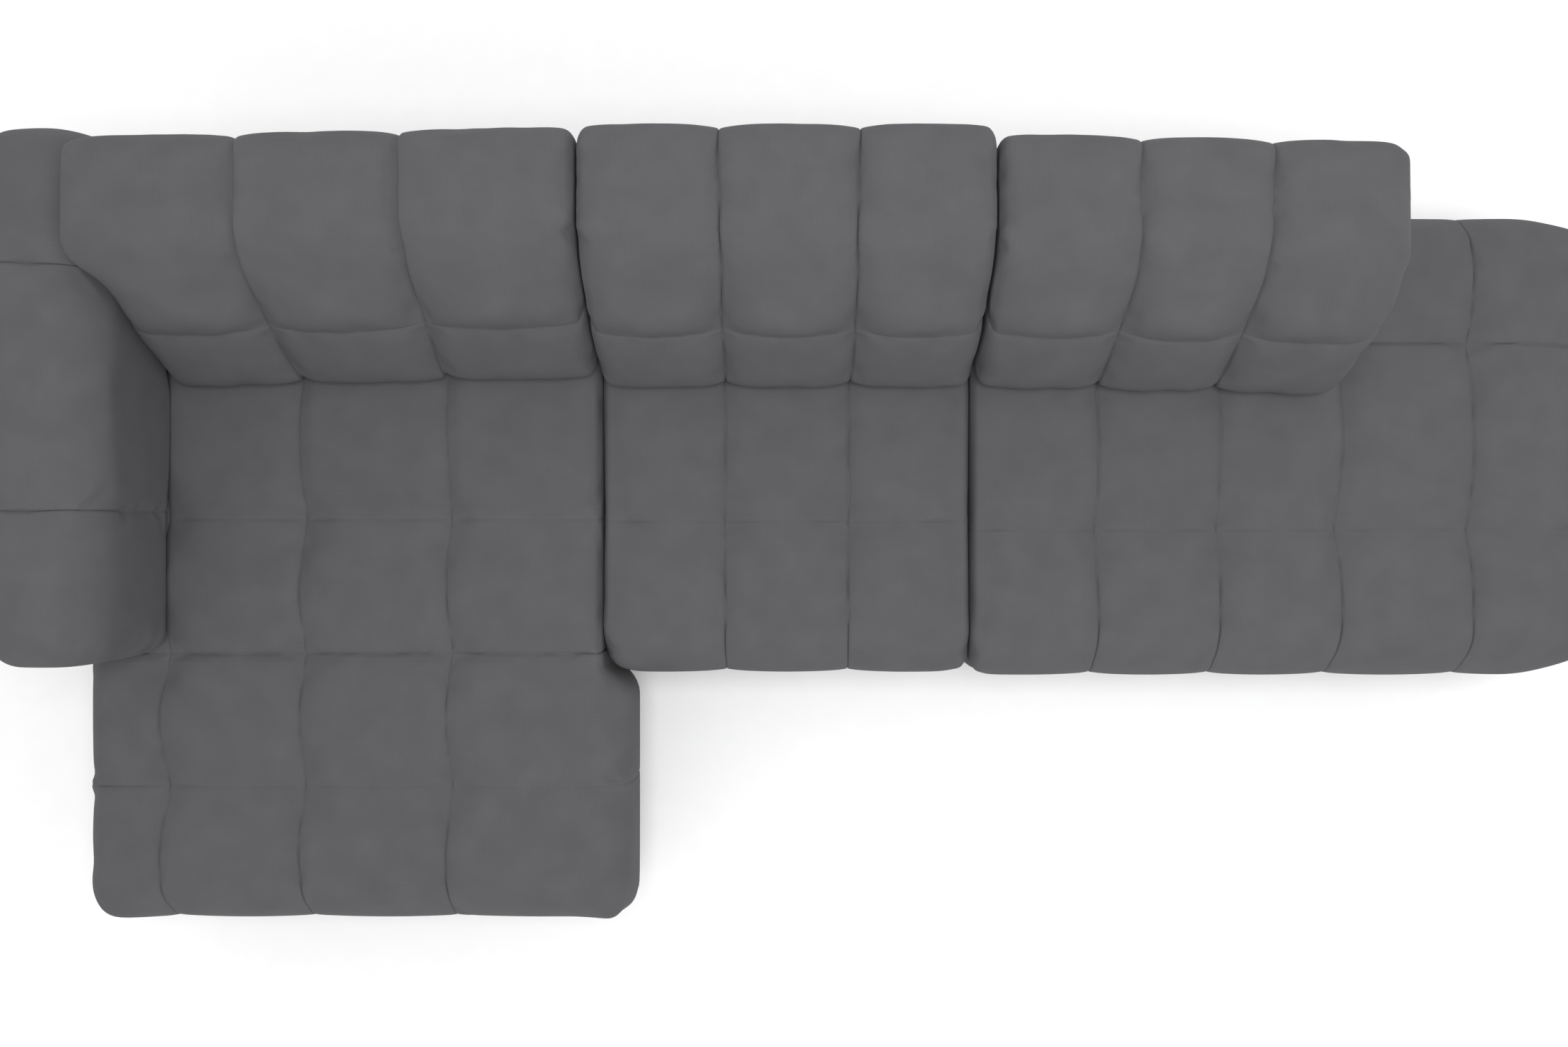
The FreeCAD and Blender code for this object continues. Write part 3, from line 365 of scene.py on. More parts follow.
@dataclass(frozen=True)
class Seams:
    """Parallel seams: the axis that they are square to, their places, and how the cloth dips to them.

    Firmness says how tightly each seam is drawn, from 0 to 1, in the order of the places.
    """

    axis: Axis
    places: Numbers
    depth: float
    reach: float
    firmness: Numbers = ()

    def distances(self, points: Points) -> Points:
        """The distance of each point from each seam, in metres."""
        return np.abs(points[:, self.axis.value][:, None] - np.array(self.places)[None, :])

    def distance(self, points: Points) -> Points:
        """The distance of each point from the nearest seam, in metres."""
        return self.distances(points).min(axis=1) if self.places else np.full(len(points), np.inf)

    def tightness(self, points: Points) -> Points:
        """How firmly the seam nearest to each point is drawn."""
        if not self.places or not self.firmness:
            return np.ones(len(points))
        return np.array(self.firmness)[self.distances(points).argmin(axis=1)]


def pillow_edge(distance: Points, reach: float, fullness: float = 2.3) -> Points:
    """How far a pillow's round edge has dipped: 1 on its seam, 0 from its reach outwards.

    Args:
        distance: The distance from the seam.
        reach: How far from the seam the edge starts to round.
        fullness: 2 for a quarter ellipse, and more for a pillow that stays full nearer to its seam.

    Returns:
        The share of the seam's depth.
    """
    share = np.clip(1 - distance / reach, 0, 1)
    return 1 - (1 - share ** fullness) ** (1 / fullness)


def ramp(values: Points, start: Points | float, end: Points | float) -> Points:
    """Rises evenly from 0 at the start to 1 at the end."""
    return np.clip((values - start) / (end - start), 0, 1)


def eased(values: Points, start: float, end: float) -> Points:
    """Rises smoothly from 0 at the start to 1 at the end."""
    share = ramp(values, start, end)
    return share * share * (3 - 2 * share)


def arched(share: Points) -> Points:
    """Rises from 0 at both ends of a share to 1 half-way."""
    return 4 * share * (1 - share)


def bump(values: Points, middle: float, reach: float) -> Points:
    """A round bump that is 1 at its middle and almost gone at twice its reach."""
    return np.exp(-((values - middle) / reach) ** 2)


def band_ends(values: Points, stops: Sequence[float]) -> tuple[Points, Points]:
    """The two stops on each side of every value."""
    edges = np.array(stops)
    band = np.clip(np.searchsorted(edges, values, side="right") - 1, 0, len(edges) - 2)
    return edges[band], edges[band + 1]


def graded(values: Points, stops: Sequence[float], pull: float) -> Points:
    """Draws even strips closer together beside the stops.

    Args:
        values: Places along one axis.
        stops: The ends and the seams along it.
        pull: How much finer the strips get, from 0 to 1.

    Returns:
        The new places.
    """
    start, end = band_ends(values, stops)
    share = ramp(values, start, end)
    return start + (end - start) * (share - pull * np.sin(math.tau * share) / math.tau)


def pressed(values: Points, low: Points | float, high: Points | float, knee: float) -> Points:
    """Presses values between two limits, softly over the last stretch before each.

    Args:
        values: Places in metres.
        low: The lower limits.
        high: The upper limits.
        knee: The stretch over which the pressing starts.

    Returns:
        The pressed places.
    """
    over = np.maximum(values - (high - knee), 0)
    under = np.maximum(low + knee - values, 0)
    values = np.where(over > 0, high - knee * np.exp(-over / knee), values)
    return np.where(under > 0, low + knee * np.exp(-under / knee), values)


def read_rows(items: Sequence, attribute: str, width: int = 3, kind: type = np.float32) -> np.ndarray:
    """Reads an attribute of every item of a mesh.

    Args:
        items: The mesh's points, corners or faces.
        attribute: The attribute's name.
        width: How many numbers each item has.
        kind: The kind of number.

    Returns:
        One row for each item.
    """
    flat = np.empty(len(items) * width, dtype=kind)
    items.foreach_get(attribute, flat)
    return flat.reshape(-1, width)


def read_points(mesh: bpy.types.Mesh) -> Points:
    """A mesh's points as rows of x, y and z."""
    return read_rows(mesh.vertices, "co").astype(np.float64)


def write_points(mesh: bpy.types.Mesh, points: Points) -> None:
    """Puts rows of x, y and z back into a mesh."""
    mesh.vertices.foreach_set("co", points.astype(np.float32).ravel())
    mesh.update()


def link(name: str, mesh: bpy.types.Mesh) -> bpy.types.Object:
    """Puts a mesh into the scene as an object at the origin."""
    piece = bpy.data.objects.new(name, mesh)
    bpy.context.scene.collection.objects.link(piece)
    return piece


def new_block(low: Points, high: Points) -> bmesh.types.BMesh:
    """Makes a plain block between two corners."""
    block = bmesh.new()
    bmesh.ops.create_cube(block, size=1.0)
    bmesh.ops.scale(block, vec=Vector(high - low), verts=block.verts)
    bmesh.ops.translate(block, vec=Vector((low + high) / 2), verts=block.verts)
    return block


def kept_mesh(name: str, shape: bmesh.types.BMesh) -> bpy.types.Mesh:
    """Makes a mesh of a worked shape, and lets go of the shape."""
    mesh = bpy.data.meshes.new(name)
    shape.to_mesh(mesh)
    shape.free()
    return mesh


def cut_strips(block: bmesh.types.BMesh, axis: Axis, stops: Sequence[float], spacing: float) -> None:
    """Cuts a block at its seams, and then into strips between them.

    Args:
        block: The block being cut.
        axis: The axis that the cuts are square to.
        stops: The block's ends and seams along the axis.
        spacing: The strips' width in metres, about.
    """
    square = Vector([float(axis.value == index) for index in range(3)])
    for place in stops[1:-1]:
        everything = block.verts[:] + block.edges[:] + block.faces[:]
        bmesh.ops.bisect_plane(block, geom=everything, dist=1e-6, plane_co=square * place, plane_no=square)
    for start, end in zip(stops, stops[1:]):
        middle = (start + end) / 2
        ring = []
        for edge in block.edges:
            first, last = (vert.co[axis.value] for vert in edge.verts)
            if abs(first - last) > ON_SEAM and abs((first + last) / 2 - middle) < ON_SEAM:
                ring.append(edge)
        cuts = max(1, round((end - start) / spacing) - 1)
        bmesh.ops.subdivide_edges(block, edges=ring, cuts=cuts, use_grid_fill=True)


@dataclass
class QuiltedCover:
    """A padded cover: a block with round edges, sewn down along its seams and blown up as cloth."""

    name: str
    node: str
    body: str
    panels: Numbers
    rows: Numbers = ()
    glide_node: str = ""

    # Channels: dip, reach, its share on the front and rear, the stitches' pull, the closing over them
    channel_depth: float = 3.5
    channel_reach: float = 24.0
    channel_on_faces: Pair = (0.35, 0.35)
    stitch_depth: float = 4.0
    closing: float = 3.8

    # Cross seams: dip, reach, the stitches' pull, the closing over them, and how firmly each is drawn
    row_depth: float = 3.6
    row_reach: float = 20.0
    row_stitch: float = 3.0
    row_closing: float = 3.2
    row_firmness: Numbers = ()

    # Tufts where a channel and a cross seam meet
    tuft_depth: float = 14.0
    tuft_across: float = 40.0
    tuft_along: float = 60.0

    # How far a seam wanders, and its bow as a share of its distance from the photograph's middle
    wander: float = 1.6
    bow: float = 0.0072

    # The crown, its share beside a cross seam, the room over it, the bulges of the front and the rear, and
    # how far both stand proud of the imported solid
    crown: float = 7.0
    crown_at_rows: float = 0.55
    crown_room: float = 1.0
    front_bulge: float = 13.0
    rear_bulge: float = 5.0
    proud: Pair = (0.0, 0.0)

    # Rounding towards the low and the high ends of the axes; the wider rounding of the upper front and rear
    # edges, as depth and height; and the stretches over which that fades down, inwards and sideways
    round_low: Pair = (42.0, 36.0)
    round_high: Triple = (50.0, 50.0, 46.0)
    front_edge: Pair = (100.0, 95.0)
    rear_edge: Pair = (85.0, 75.0)
    edge_fade: Triple = (40.0, 80.0, 120.0)

    # The rounding of the left and right sides where a neighbour touches, and its start and end from a corner
    touching: Pair = (0.0, 0.0)
    touching_from: Pair = (20.0, 100.0)

    # How far the lower edge turns in, the mesh, the most that a point swells, the hollow, and its filling
    tuck: float = 14.0
    spacing: float = 15.0
    finer_at_seams: float = 0.72
    finer_at_ends: float = 0.35
    swell_limit: float = 5.0
    padding: float = 48.0
    ceiling: float = 5.0
    fill: float = 0.8

    # Slots for the glide tubes: room round a tube, how deep a cutter is, and how far its middle is inside
    slot_room: float = 3.0
    slot_depth: float = 120.0
    slot_inside: float = 20.0

    piece: bpy.types.Object | None = field(default=None, init=False)
    cut: Points | None = field(default=None, init=False)
    lean: Points | None = field(default=None, init=False)

    def __post_init__(self) -> None:
        """Reads the space that the cover fills from the frame."""
        low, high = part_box(self.node)
        self.space_low = np.array(low)
        self.space_high = np.array(high)
        self.block_low, self.block_high = self.block()
        self.deep = self.deep_seams()
        self.shallow = self.shallow_seams()

    def block(self) -> tuple[Points, Points]:
        """The corners of the flat-faced block under the crowns and bulges."""
        sides, front, rear = self.bulge_room()
        ahead, behind = self.proud
        low = self.space_low + np.array([sides, front - ahead, 0.0]) * MM
        high = self.space_high - np.array([sides, rear - behind, self.crown + self.crown_room]) * MM
        return low, high

    def bulge_room(self) -> Triple:
        """The room that the bulges take at the sides, the front and the rear."""
        return 0.0, self.front_bulge, self.rear_bulge

    def deep_seams(self) -> Seams:
        """The channels between the columns."""
        left = self.space_low[0]
        places = tuple(left + sum(self.panels[:count + 1]) * MM for count in range(len(self.panels)))
        return Seams(Axis.ACROSS, places, self.channel_depth * MM, self.channel_reach * MM)

    def shallow_seams(self) -> Seams:
        """The cross seams, counted from the rear edge forwards."""
        return Seams(Axis.DEPTH, self.from_rear(self.rows), self.row_depth * MM, self.row_reach * MM,
                     self.row_firmness)

    def from_rear(self, lengths: Sequence[float]) -> Numbers:
        """The places of seams across the depth, from the front, for lengths counted from the rear edge."""
        rear = float(self.space_high[1])
        return tuple(sorted(rear - sum(lengths[:count + 1]) * MM for count in range(len(lengths))))

    def stops(self, axis: Axis) -> list[float]:
        """The block's ends along an axis, and the seams between them."""
        places = [place for seams in (self.deep, self.shallow) if seams.axis is axis
                  for place in seams.places]
        return [float(self.block_low[axis.value]), *sorted(places), float(self.block_high[axis.value])]

    def grid(self) -> bpy.types.Mesh:
        """The block's mesh, in even strips between its seams, with no underside."""
        block = new_block(self.block_low, self.block_high)
        under = [face for face in block.faces if face.normal.z < -0.5]
        bmesh.ops.delete(block, geom=under, context="FACES")
        for axis in Axis:
            cut_strips(block, axis, self.stops(axis), self.spacing * MM)
        return kept_mesh(self.name, block)

    def rounded(self, points: Points) -> Points:
        """Rounds the block's upright and upper edges, and tucks its lower edge in.

        Args:
            points: The points of the flat-faced block.

        Returns:
            The points of the rounded block; their directions are kept for later.
        """
        radii_low, radii_high = self.radii(points)
        core = np.clip(points, self.block_low + radii_low, self.block_high - radii_high)
        radii = np.where(points < core, np.abs(radii_low), radii_high)
        turn = (points - core) / radii
        turn /= np.maximum(np.linalg.norm(turn, axis=1, keepdims=True), 1e-9)
        placed = core + turn * radii
        lean = turn / radii
        lean /= np.maximum(np.linalg.norm(lean, axis=1, keepdims=True), 1e-9)
        self.lean = lean
        tuck = self.tuck * MM
        turn = np.clip(1 - (points[:, 2] - self.block_low[2]) / tuck, 0, 1) * math.pi / 2
        flat = lean * np.array([1.0, 1.0, 0.0])
        placed -= flat * (tuck * (1 - np.cos(turn)))[:, None]
        tucked = turn > 0
        placed[tucked, 2] = self.block_low[2] + tuck * (1 - np.sin(turn[tucked]))
        return placed

    def radii(self, points: Points) -> tuple[Points, Points]:
        """The rounding at each point, towards the low and towards the high end of each axis.

        The upper front and rear edges are rounder than the upright corners under them, and a side
        that touches a neighbour is sharper between its corners. Nothing is rounded at the bottom.

        Args:
            points: The points of the flat-faced block.

        Returns:
            The radii towards the low ends and towards the high ends.
        """
        low = np.tile(np.array([*self.round_low, -1000.0]) * MM, (len(points), 1))
        high = np.tile(np.array(self.round_high) * MM, (len(points), 1))
        top = self.block_high[2]
        from_left, from_front, _ = (points - self.block_low).T
        from_right, from_rear, _ = (self.block_high - points).T
        down, inwards, sideways = (stretch * MM for stretch in self.edge_fade)
        for (depth, height), radii, from_face in ((self.front_edge, low, from_front),
                                                  (self.rear_edge, high, from_rear)):
            depth, height = depth * MM, height * MM
            upper = eased(points[:, 2], top - height - down, top - height * 0.5)
            near = ((1 - eased(from_face, depth, depth + inwards))
                    * eased(np.minimum(from_left, from_right), 0.0, sideways))
            radii[:, 1] += (depth - radii[:, 1]) * upper
            high[:, 2] += (height - high[:, 2]) * near
        start, end = (place * MM for place in self.touching_from)
        between = eased(np.minimum(from_front, from_rear), start, end)
        for touching, radii in zip(self.touching, (low, high)):
            if touching:
                radii[:, 0] += (touching * MM - radii[:, 0]) * between
        return low, high

    def leaned(self, points: Points) -> Points:
        """Leans the block into its own shape; a plain platform stays square."""
        return points

    def row_mask(self) -> Points:
        """Where on the cover the cross seams are sewn, from 0 to 1: all over a platform."""
        return np.ones(len(self.cut))

    def toward(self) -> Points:
        """How far each point faces along the channels: -1 to their low end, 1 to their high end."""
        return self.lean[:, 1 - self.deep.axis.value]

    def dip(self) -> Points:
        """How far each point lies below the full block."""
        from_deep = self.deep.distance(self.cut)
        from_shallow = self.shallow.distance(self.cut)
        toward = self.toward()
        front, rear = self.channel_on_faces
        on_faces = 1 - np.where(toward < 0, 1 - front, 1 - rear) * toward ** 2
        channel = pillow_edge(from_deep, self.deep.reach) * on_faces
        drawn = self.row_mask() * self.shallow.tightness(self.cut)
        crease = pillow_edge(from_shallow, self.shallow.reach) * drawn
        across = np.minimum(from_deep, 1.0) / (self.tuft_across * MM)
        along = np.minimum(from_shallow, 1.0) / (self.tuft_along * MM)
        tuft = np.exp(-(across ** 2 + along ** 2) / 2) * self.row_mask()
        stitch = (from_deep < ON_SEAM) * (1 - tuft) * on_faces
        cross_stitch = (from_shallow < ON_SEAM) * (1 - tuft) * drawn
        return (self.deep.depth * channel + self.shallow.depth * crease * (1 - channel)
                + MM * (self.tuft_depth * tuft + self.stitch_depth * stitch + self.row_stitch * cross_stitch))

    def rise(self) -> Points:
        """How far each point stands out in the middle of its panel."""
        full = arched(self.share_of_panel(self.deep.axis))
        if self.shallow.axis.value == 1 - self.deep.axis.value:
            along = arched(self.share_of_panel(self.shallow.axis))
            full *= self.crown_at_rows + (1 - self.crown_at_rows) * along
        up = np.maximum(self.lean[:, 2], 0)
        toward = self.toward()
        bulge = np.where(toward < 0, self.front_bulge, self.rear_bulge) * np.abs(toward)
        upright = arched(self.share_of_block(Axis.UP)) * (1 - up)
        return MM * full * (self.crown * up ** 2 + bulge * upright)

    def share_of_panel(self, axis: Axis) -> Points:
        """Where each point lies between the seams on each side of it, from 0 to 1."""
        return ramp(self.cut[:, axis.value], *band_ends(self.cut[:, axis.value], self.stops(axis)))

    def share_of_block(self, axis: Axis) -> Points:
        """Where each point lies between the ends of the block, from 0 to 1."""
        return ramp(self.cut[:, axis.value], self.block_low[axis.value], self.block_high[axis.value])

    def closed(self, points: Points) -> Points:
        """Moves the points beside each seam towards it, so that the pillows close over their seams.

        Args:
            points: The sewn and swollen points.

        Returns:
            The points, with those beside a seam moved towards it.
        """
        for seams, closing in ((self.deep, self.closing * MM), (self.shallow, self.row_closing * MM)):
            axis = seams.axis.value
            start, end = band_ends(self.cut[:, axis], self.stops(seams.axis))
            ends = (self.block_low[axis], self.block_high[axis])
            for edge, side in ((start, 1), (end, -1)):
                away = (self.cut[:, axis] - edge) * side
                sewn = (np.abs(edge - ends[0]) > 1e-6) & (np.abs(edge - ends[1]) > 1e-6)
                near = bump(away, 0.0, CLOSING_REACH * closing) * (away > 1e-5)
                points[:, axis] -= sewn * side * closing * near * seams.tightness(self.cut)
        return points

    def sew(self) -> None:
        """Makes the cover's mesh, rounds it and draws it down to its seams."""
        mesh = self.grid()
        points = read_points(mesh)
        for axis in Axis:
            stops = self.stops(axis)
            pull = self.finer_at_seams if len(stops) > 2 else self.finer_at_ends
            points[:, axis.value] = graded(points[:, axis.value], stops, pull)
        self.cut = points
        self.map_cloth(mesh)
        write_points(mesh, self.leaned(self.rounded(points)))
        outwards = read_rows(mesh.vertex_normals, "vector").astype(np.float64)
        write_points(mesh, self.inside(read_points(mesh) + outwards * (self.rise() - self.dip())[:, None]))
        self.piece = link(self.name, mesh)
        self.hold()

    def map_cloth(self, mesh: bpy.types.Mesh) -> None:
        """Unrolls the cover into a map in metres, so that the weave follows it over its edges."""
        corners = read_rows(mesh.loops, "vertex_index", 1, np.int32)[:, 0]
        totals = read_rows(mesh.polygons, "loop_total", 1, np.int32)[:, 0]
        facing = np.repeat(read_rows(mesh.polygons, "normal"), totals, axis=0)
        points = self.cut[corners]
        fall = self.block_high[2] - points[:, 2]
        spread = points[:, :2].copy()
        for axis in (0, 1):
            side = np.abs(facing[:, axis]) > 0.5
            spread[side, axis] += np.sign(facing[side, axis]) * fall[side]
        layer = mesh.uv_layers.new(name="cloth")
        layer.data.foreach_set("uv", spread.astype(np.float32).ravel())

    def hold(self) -> None:
        """Holds the channels and the lower edge fully, and each cross seam as firmly as it is drawn."""
        from_shallow = self.shallow.distance(self.cut) / np.maximum(self.row_mask(), 1e-6)
        tightness = np.round(self.shallow.tightness(self.cut), 2)
        held = np.where(from_shallow < ON_SEAM, tightness, 0.0)
        held[self.deep.distance(self.cut) < ON_SEAM] = 1.0
        held[self.cut[:, 2] < self.block_low[2] + self.tuck * MM] = 1.0
        group = self.piece.vertex_groups.new(name="stitches")
        for weight in np.unique(held[held > 0]):
            group.add(np.flatnonzero(held == weight).tolist(), float(weight), "REPLACE")

    def inside(self, points: Points) -> Points:
        """Presses the cover into its own space, softly at the top and more firmly at the sides."""
        points[:, 2] = pressed(points[:, 2], -np.inf, self.space_high[2] - TOP_SPARE, TOP_KNEE)
        ahead, behind = self.proud
        low = self.space_low[:2] - SIDE_SPARE - np.array([0.0, ahead * MM])
        high = self.space_high[:2] + SIDE_SPARE + np.array([0.0, behind * MM])
        points[:, :2] = pressed(points[:, :2], low, high, SIDE_KNEE)
        return points

    def fill_up(self, blown: Points) -> None:
        """Takes over the blown-up shape, within limits, with each pillow on its side of its seams.

        Args:
            blown: The points after the cloth has been blown up.
        """
        sewn = read_points(self.piece.data)
        swell = blown - sewn
        size = np.linalg.norm(swell, axis=1, keepdims=True)
        limit = self.swell_limit * MM
        swell *= limit * np.tanh(size / limit) / np.maximum(size, 1e-9)
        points = self.closed(sewn + swell)
        axis = self.deep.axis.value
        start, end = band_ends(self.cut[:, axis], self.stops(self.deep.axis))
        start = np.where(start > self.block_low[axis], start + SEAM_TOUCH, -np.inf)
        end = np.where(end < self.block_high[axis], end - SEAM_TOUCH, np.inf)
        stitched = self.deep.distance(self.cut) < ON_SEAM
        points[:, axis] = np.where(stitched, self.cut[:, axis], np.clip(points[:, axis], start, end))
        write_points(self.piece.data, self.settled(self.inside(points)))

    def settled(self, points: Points) -> Points:
        """Lets the seams wander and bow a little, as sewn ones do, and leaves the ends where they are."""
        axis = self.deep.axis.value
        across = points[:, axis]
        from_end = np.minimum(across - self.space_low[axis], self.space_high[axis] - across)
        free = ramp(from_end, 0.0, FREE_OVER)
        run = points[:, 1 - axis] * WAVE_ALONG + across * WAVE_ACROSS
        waves = np.sin(run) + SECOND_SHARE * np.sin(run * SECOND_PACE + SECOND_START)
        points[:, axis] += free * self.wander * MM * waves
        if self.bow:
            arc = 2 * np.sin(math.pi * self.share_of_panel(self.shallow.axis)) - 1
            points[:, axis] += free * arc * self.bow * (self.cut[:, axis] - PHOTO_MIDDLE)
        return points

    def cavity(self) -> list[tuple[float, Points, Points]]:
        """The hollow inside: rings of height, low corner and high corner, from the bottom up."""
        pad = self.padding * MM
        low = self.space_low[:2] + pad
        high = self.space_high[:2] - pad
        top = self.space_high[2] - pad - self.ceiling * MM
        return [(float(self.space_low[2]), low, high), (float(top), low, high)]

    def smooth(self) -> None:
        """Divides the cover once more, into a smooth surface."""
        smooth = self.piece.modifiers.new("smooth", "SUBSURF")
        smooth.levels = smooth.render_levels = 1
        self.keep_modified()

    def keep_modified(self) -> None:
        """Makes the cover's mesh what its modifiers show."""
        seen = self.piece.evaluated_get(bpy.context.evaluated_depsgraph_get())
        mesh = bpy.data.meshes.new_from_object(seen)
        rough = self.piece.data
        self.piece.modifiers.clear()
        self.piece.data = mesh
        bpy.data.meshes.remove(rough)
        mesh.name = self.name

    def line(self) -> None:
        """Turns the lower edge in and lines the hollow, so that the cover is closed."""
        mesh = self.piece.data
        shell = bmesh.new()
        shell.from_mesh(mesh)
        rim = [edge for edge in shell.edges if edge.is_boundary]
        lining = []
        for height, low, high in self.cavity():
            turned = bmesh.ops.extrude_edge_only(shell, edges=rim)["geom"]
            added = [part for part in turned if isinstance(part, bmesh.types.BMVert)]
            for vert in added:
                vert.co = Vector((min(max(vert.co.x, low[0]), high[0]),
                                  min(max(vert.co.y, low[1]), high[1]), height))
            rim = [part for part in turned if isinstance(part, bmesh.types.BMEdge) and part.is_boundary]
            lining += added
        bmesh.ops.holes_fill(shell, edges=rim, sides=0)
        bmesh.ops.remove_doubles(shell, verts=lining, dist=1e-5)
        bmesh.ops.recalc_face_normals(shell, faces=shell.faces)
        shell.to_mesh(mesh)
        shell.free()

    def slot_cutters(self) -> list[bpy.types.Object]:
        """Cutters for the slots that the glide tubes pass through."""
        if not self.glide_node:
            return []
        low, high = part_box(self.glide_node)
        tube = (high[2] - low[2]) / 2
        wide = tube + self.slot_room * MM
        half = np.array([wide, self.slot_depth * MM / 2, wide])
        rear = self.space_high[1] - self.slot_inside * MM
        middles = [np.array([across, rear, low[2] + tube]) for across in (low[0] + tube, high[0] - tube)]
        name = self.name + "_slot"
        return [link(name, kept_mesh(name, new_block(middle - half, middle + half))) for middle in middles]

    def cut_slots(self) -> None:
        """Cuts the slots for the glide tubes through the rear."""
        cutters = self.slot_cutters()
        for cutter in cutters:
            slot = self.piece.modifiers.new("slot", "BOOLEAN")
            slot.operation = "DIFFERENCE"
            slot.solver = "MANIFOLD"
            slot.object = cutter
        if cutters:
            self.keep_modified()
        for cutter in cutters:
            bpy.data.meshes.remove(cutter.data)

    def dress(self) -> None:
        """Gives the cover its cloth, hides the imported part that it stands for, and hangs it on the body
        that it moves with.
        """
        mesh = self.piece.data
        self.piece.vertex_groups.clear()
        mesh.materials.clear()
        mesh.materials.append(COVER_CLOTH.material())
        mesh.shade_smooth()
        mesh.set_sharp_from_angle(angle=math.radians(SHARP_ANGLE))
        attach(self.piece, self.body)
        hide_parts(self.node)
        log.info("%s: %d faces", self.name, len(self.piece.data.polygons))


@dataclass
class BackCover(QuiltedCover):
    """The cover of a back: a block that leans to the rear in front, with one crease across it."""

    channel_depth: float = 11.0
    channel_reach: float = 70.0
    channel_on_faces: Pair = (1.0, 0.5)
    stitch_depth: float = 3.0
    row_depth: float = 8.0
    row_reach: float = 50.0
    row_stitch: float = 0.0
    row_closing: float = 2.4
    tuft_depth: float = 4.0
    tuft_along: float = 40.0
    wander: float = 2.2
    bow: float = 0.0
    crown: float = 8.0
    front_bulge: float = 12.0
    rear_bulge: float = 3.0
    round_low: Pair = (22.0, 50.0)
    round_high: Triple = (22.0, 40.0, 60.0)
    front_edge: Pair = (100.0, 70.0)
    rear_edge: Pair = (60.0, 60.0)
    touching: Pair = (12.0, 12.0)
    tuck: float = 20.0
    swell_limit: float = 6.0
    padding: float = 34.0
    ceiling: float = 30.0

    # The lower row, and the bumps at its foot and over the crease: how far out, how high up, and their reach
    lower_row: float = 200.0
    foot_bump: Triple = (8.0, 50.0, 80.0)
    brow_bump: Triple = (20.0, 45.0, 40.0)

    # How the front leans: from what height, how much in each row and in the foam, and how much thicker a
    # layer behind it measures along the depth than square to it
    foot_height: float = 30.0
    lower_lean: float = 0.5
    upper_lean: float = 0.74
    foam_lean: float = 0.635
    lean_factor: float = 1.2

    # How the back is turned in plan, how its seams splay upwards, how far its left end hangs over the arm's
    # shoulder, from how far under the top and over what height, and how its right end swells
    skew: float = 0.0
    splay: float = 0.0
    overhang: float = 0.0
    hang_from: float = 149.0
    hang_over: float = 105.0
    end_swell: float = 0.0
    swell_from: float = 0.72

    def shallow_seams(self) -> Seams:
        """The crease between the lower and the upper row."""
        place = float(self.space_low[2]) + self.lower_row * MM
        return Seams(Axis.UP, (place,), self.row_depth * MM, self.row_reach * MM)

    def row_mask(self) -> Points:
        """The crease runs across the front and fades out round the ends."""
        return np.clip(1 - 2 * self.share_of_block(Axis.DEPTH), 0, 1)

    def rise(self) -> Points:
        """Adds the swell of the lower pillows at their foot, and of the upper ones over the crease."""
        over_foot = self.cut[:, 2] - self.block_low[2]
        swell = np.zeros(len(self.cut))
        for (out, middle, reach), start in ((self.foot_bump, 0.0), (self.brow_bump, self.lower_row)):
            swell += out * MM * bump(over_foot, (start + middle) * MM, reach * MM)
        across = arched(self.share_of_panel(self.deep.axis))
        return super().rise() + swell * across * np.maximum(-self.lean[:, 1], 0)

    def leaned(self, points: Points) -> Points:
        """Leans the front to the rear, more over the crease, and moves the seams and the ends outwards."""
        size = self.block_high - self.block_low
        over_foot = points[:, 2] - self.block_low[2]
        lower = np.clip(over_foot - self.foot_height * MM, 0, (self.lower_row - self.foot_height) * MM)
        upper = np.maximum(over_foot - self.lower_row * MM, 0)
        share = (self.block_high[1] - points[:, 1]) / size[1]
        points[:, 1] += (lower * self.lower_lean + upper * self.upper_lean) * share
        across = self.share_of_block(Axis.ACROSS)
        height = over_foot / size[2]
        points[:, 0] += self.splay * MM * (0.5 - height) * arched(across)
        near_end = 1 - ramp(self.cut[:, 0], self.block_low[0], self.block_low[0] + self.panels[0] * MM)
        points[:, 0] -= self.hang(points) * near_end
        far_end = ramp(across, self.swell_from, 1.0) ** 2
        points[:, 0] += self.end_swell * MM * far_end * arched(height)
        return points

    def hang(self, points: Points) -> Points:
        """How far the back's end hangs out over the arm's shoulder at each point's height."""
        start = self.block_high[2] - self.hang_from * MM
        return self.overhang * MM * ramp(points[:, 2], start, start + self.hang_over * MM) ** 2

    def settled(self, points: Points) -> Points:
        """Turns the back a little in plan, as it stands in the room."""
        points = super().settled(points)
        middle = (self.space_low[0] + self.space_high[0]) / 2
        points[:, 1] += (points[:, 0] - middle) * self.skew
        return points

    def inside(self, points: Points) -> Points:
        """Presses the back between its neighbours, and leaves its top and front free."""
        low = self.space_low[0] - SIDE_SPARE - self.hang(points)
        high = self.space_high[0] + SIDE_SPARE + self.end_swell * MM
        points[:, 0] = pressed(points[:, 0], low, high, SIDE_KNEE)
        points[:, 2] = np.maximum(points[:, 2], self.space_low[2])
        return points

    def cavity(self) -> list[tuple[float, Points, Points]]:
        """The hollow inside, whose front leans as the cover's does."""
        (base, low, high), (top, _, _) = super().cavity()
        low = low + np.array([0.0, self.padding * MM * (self.lean_factor - 1)])
        return [(height, low + np.array([0.0, (height - base) * self.foam_lean]), high)
                for height in (base, base + self.lower_row * MM, top)]


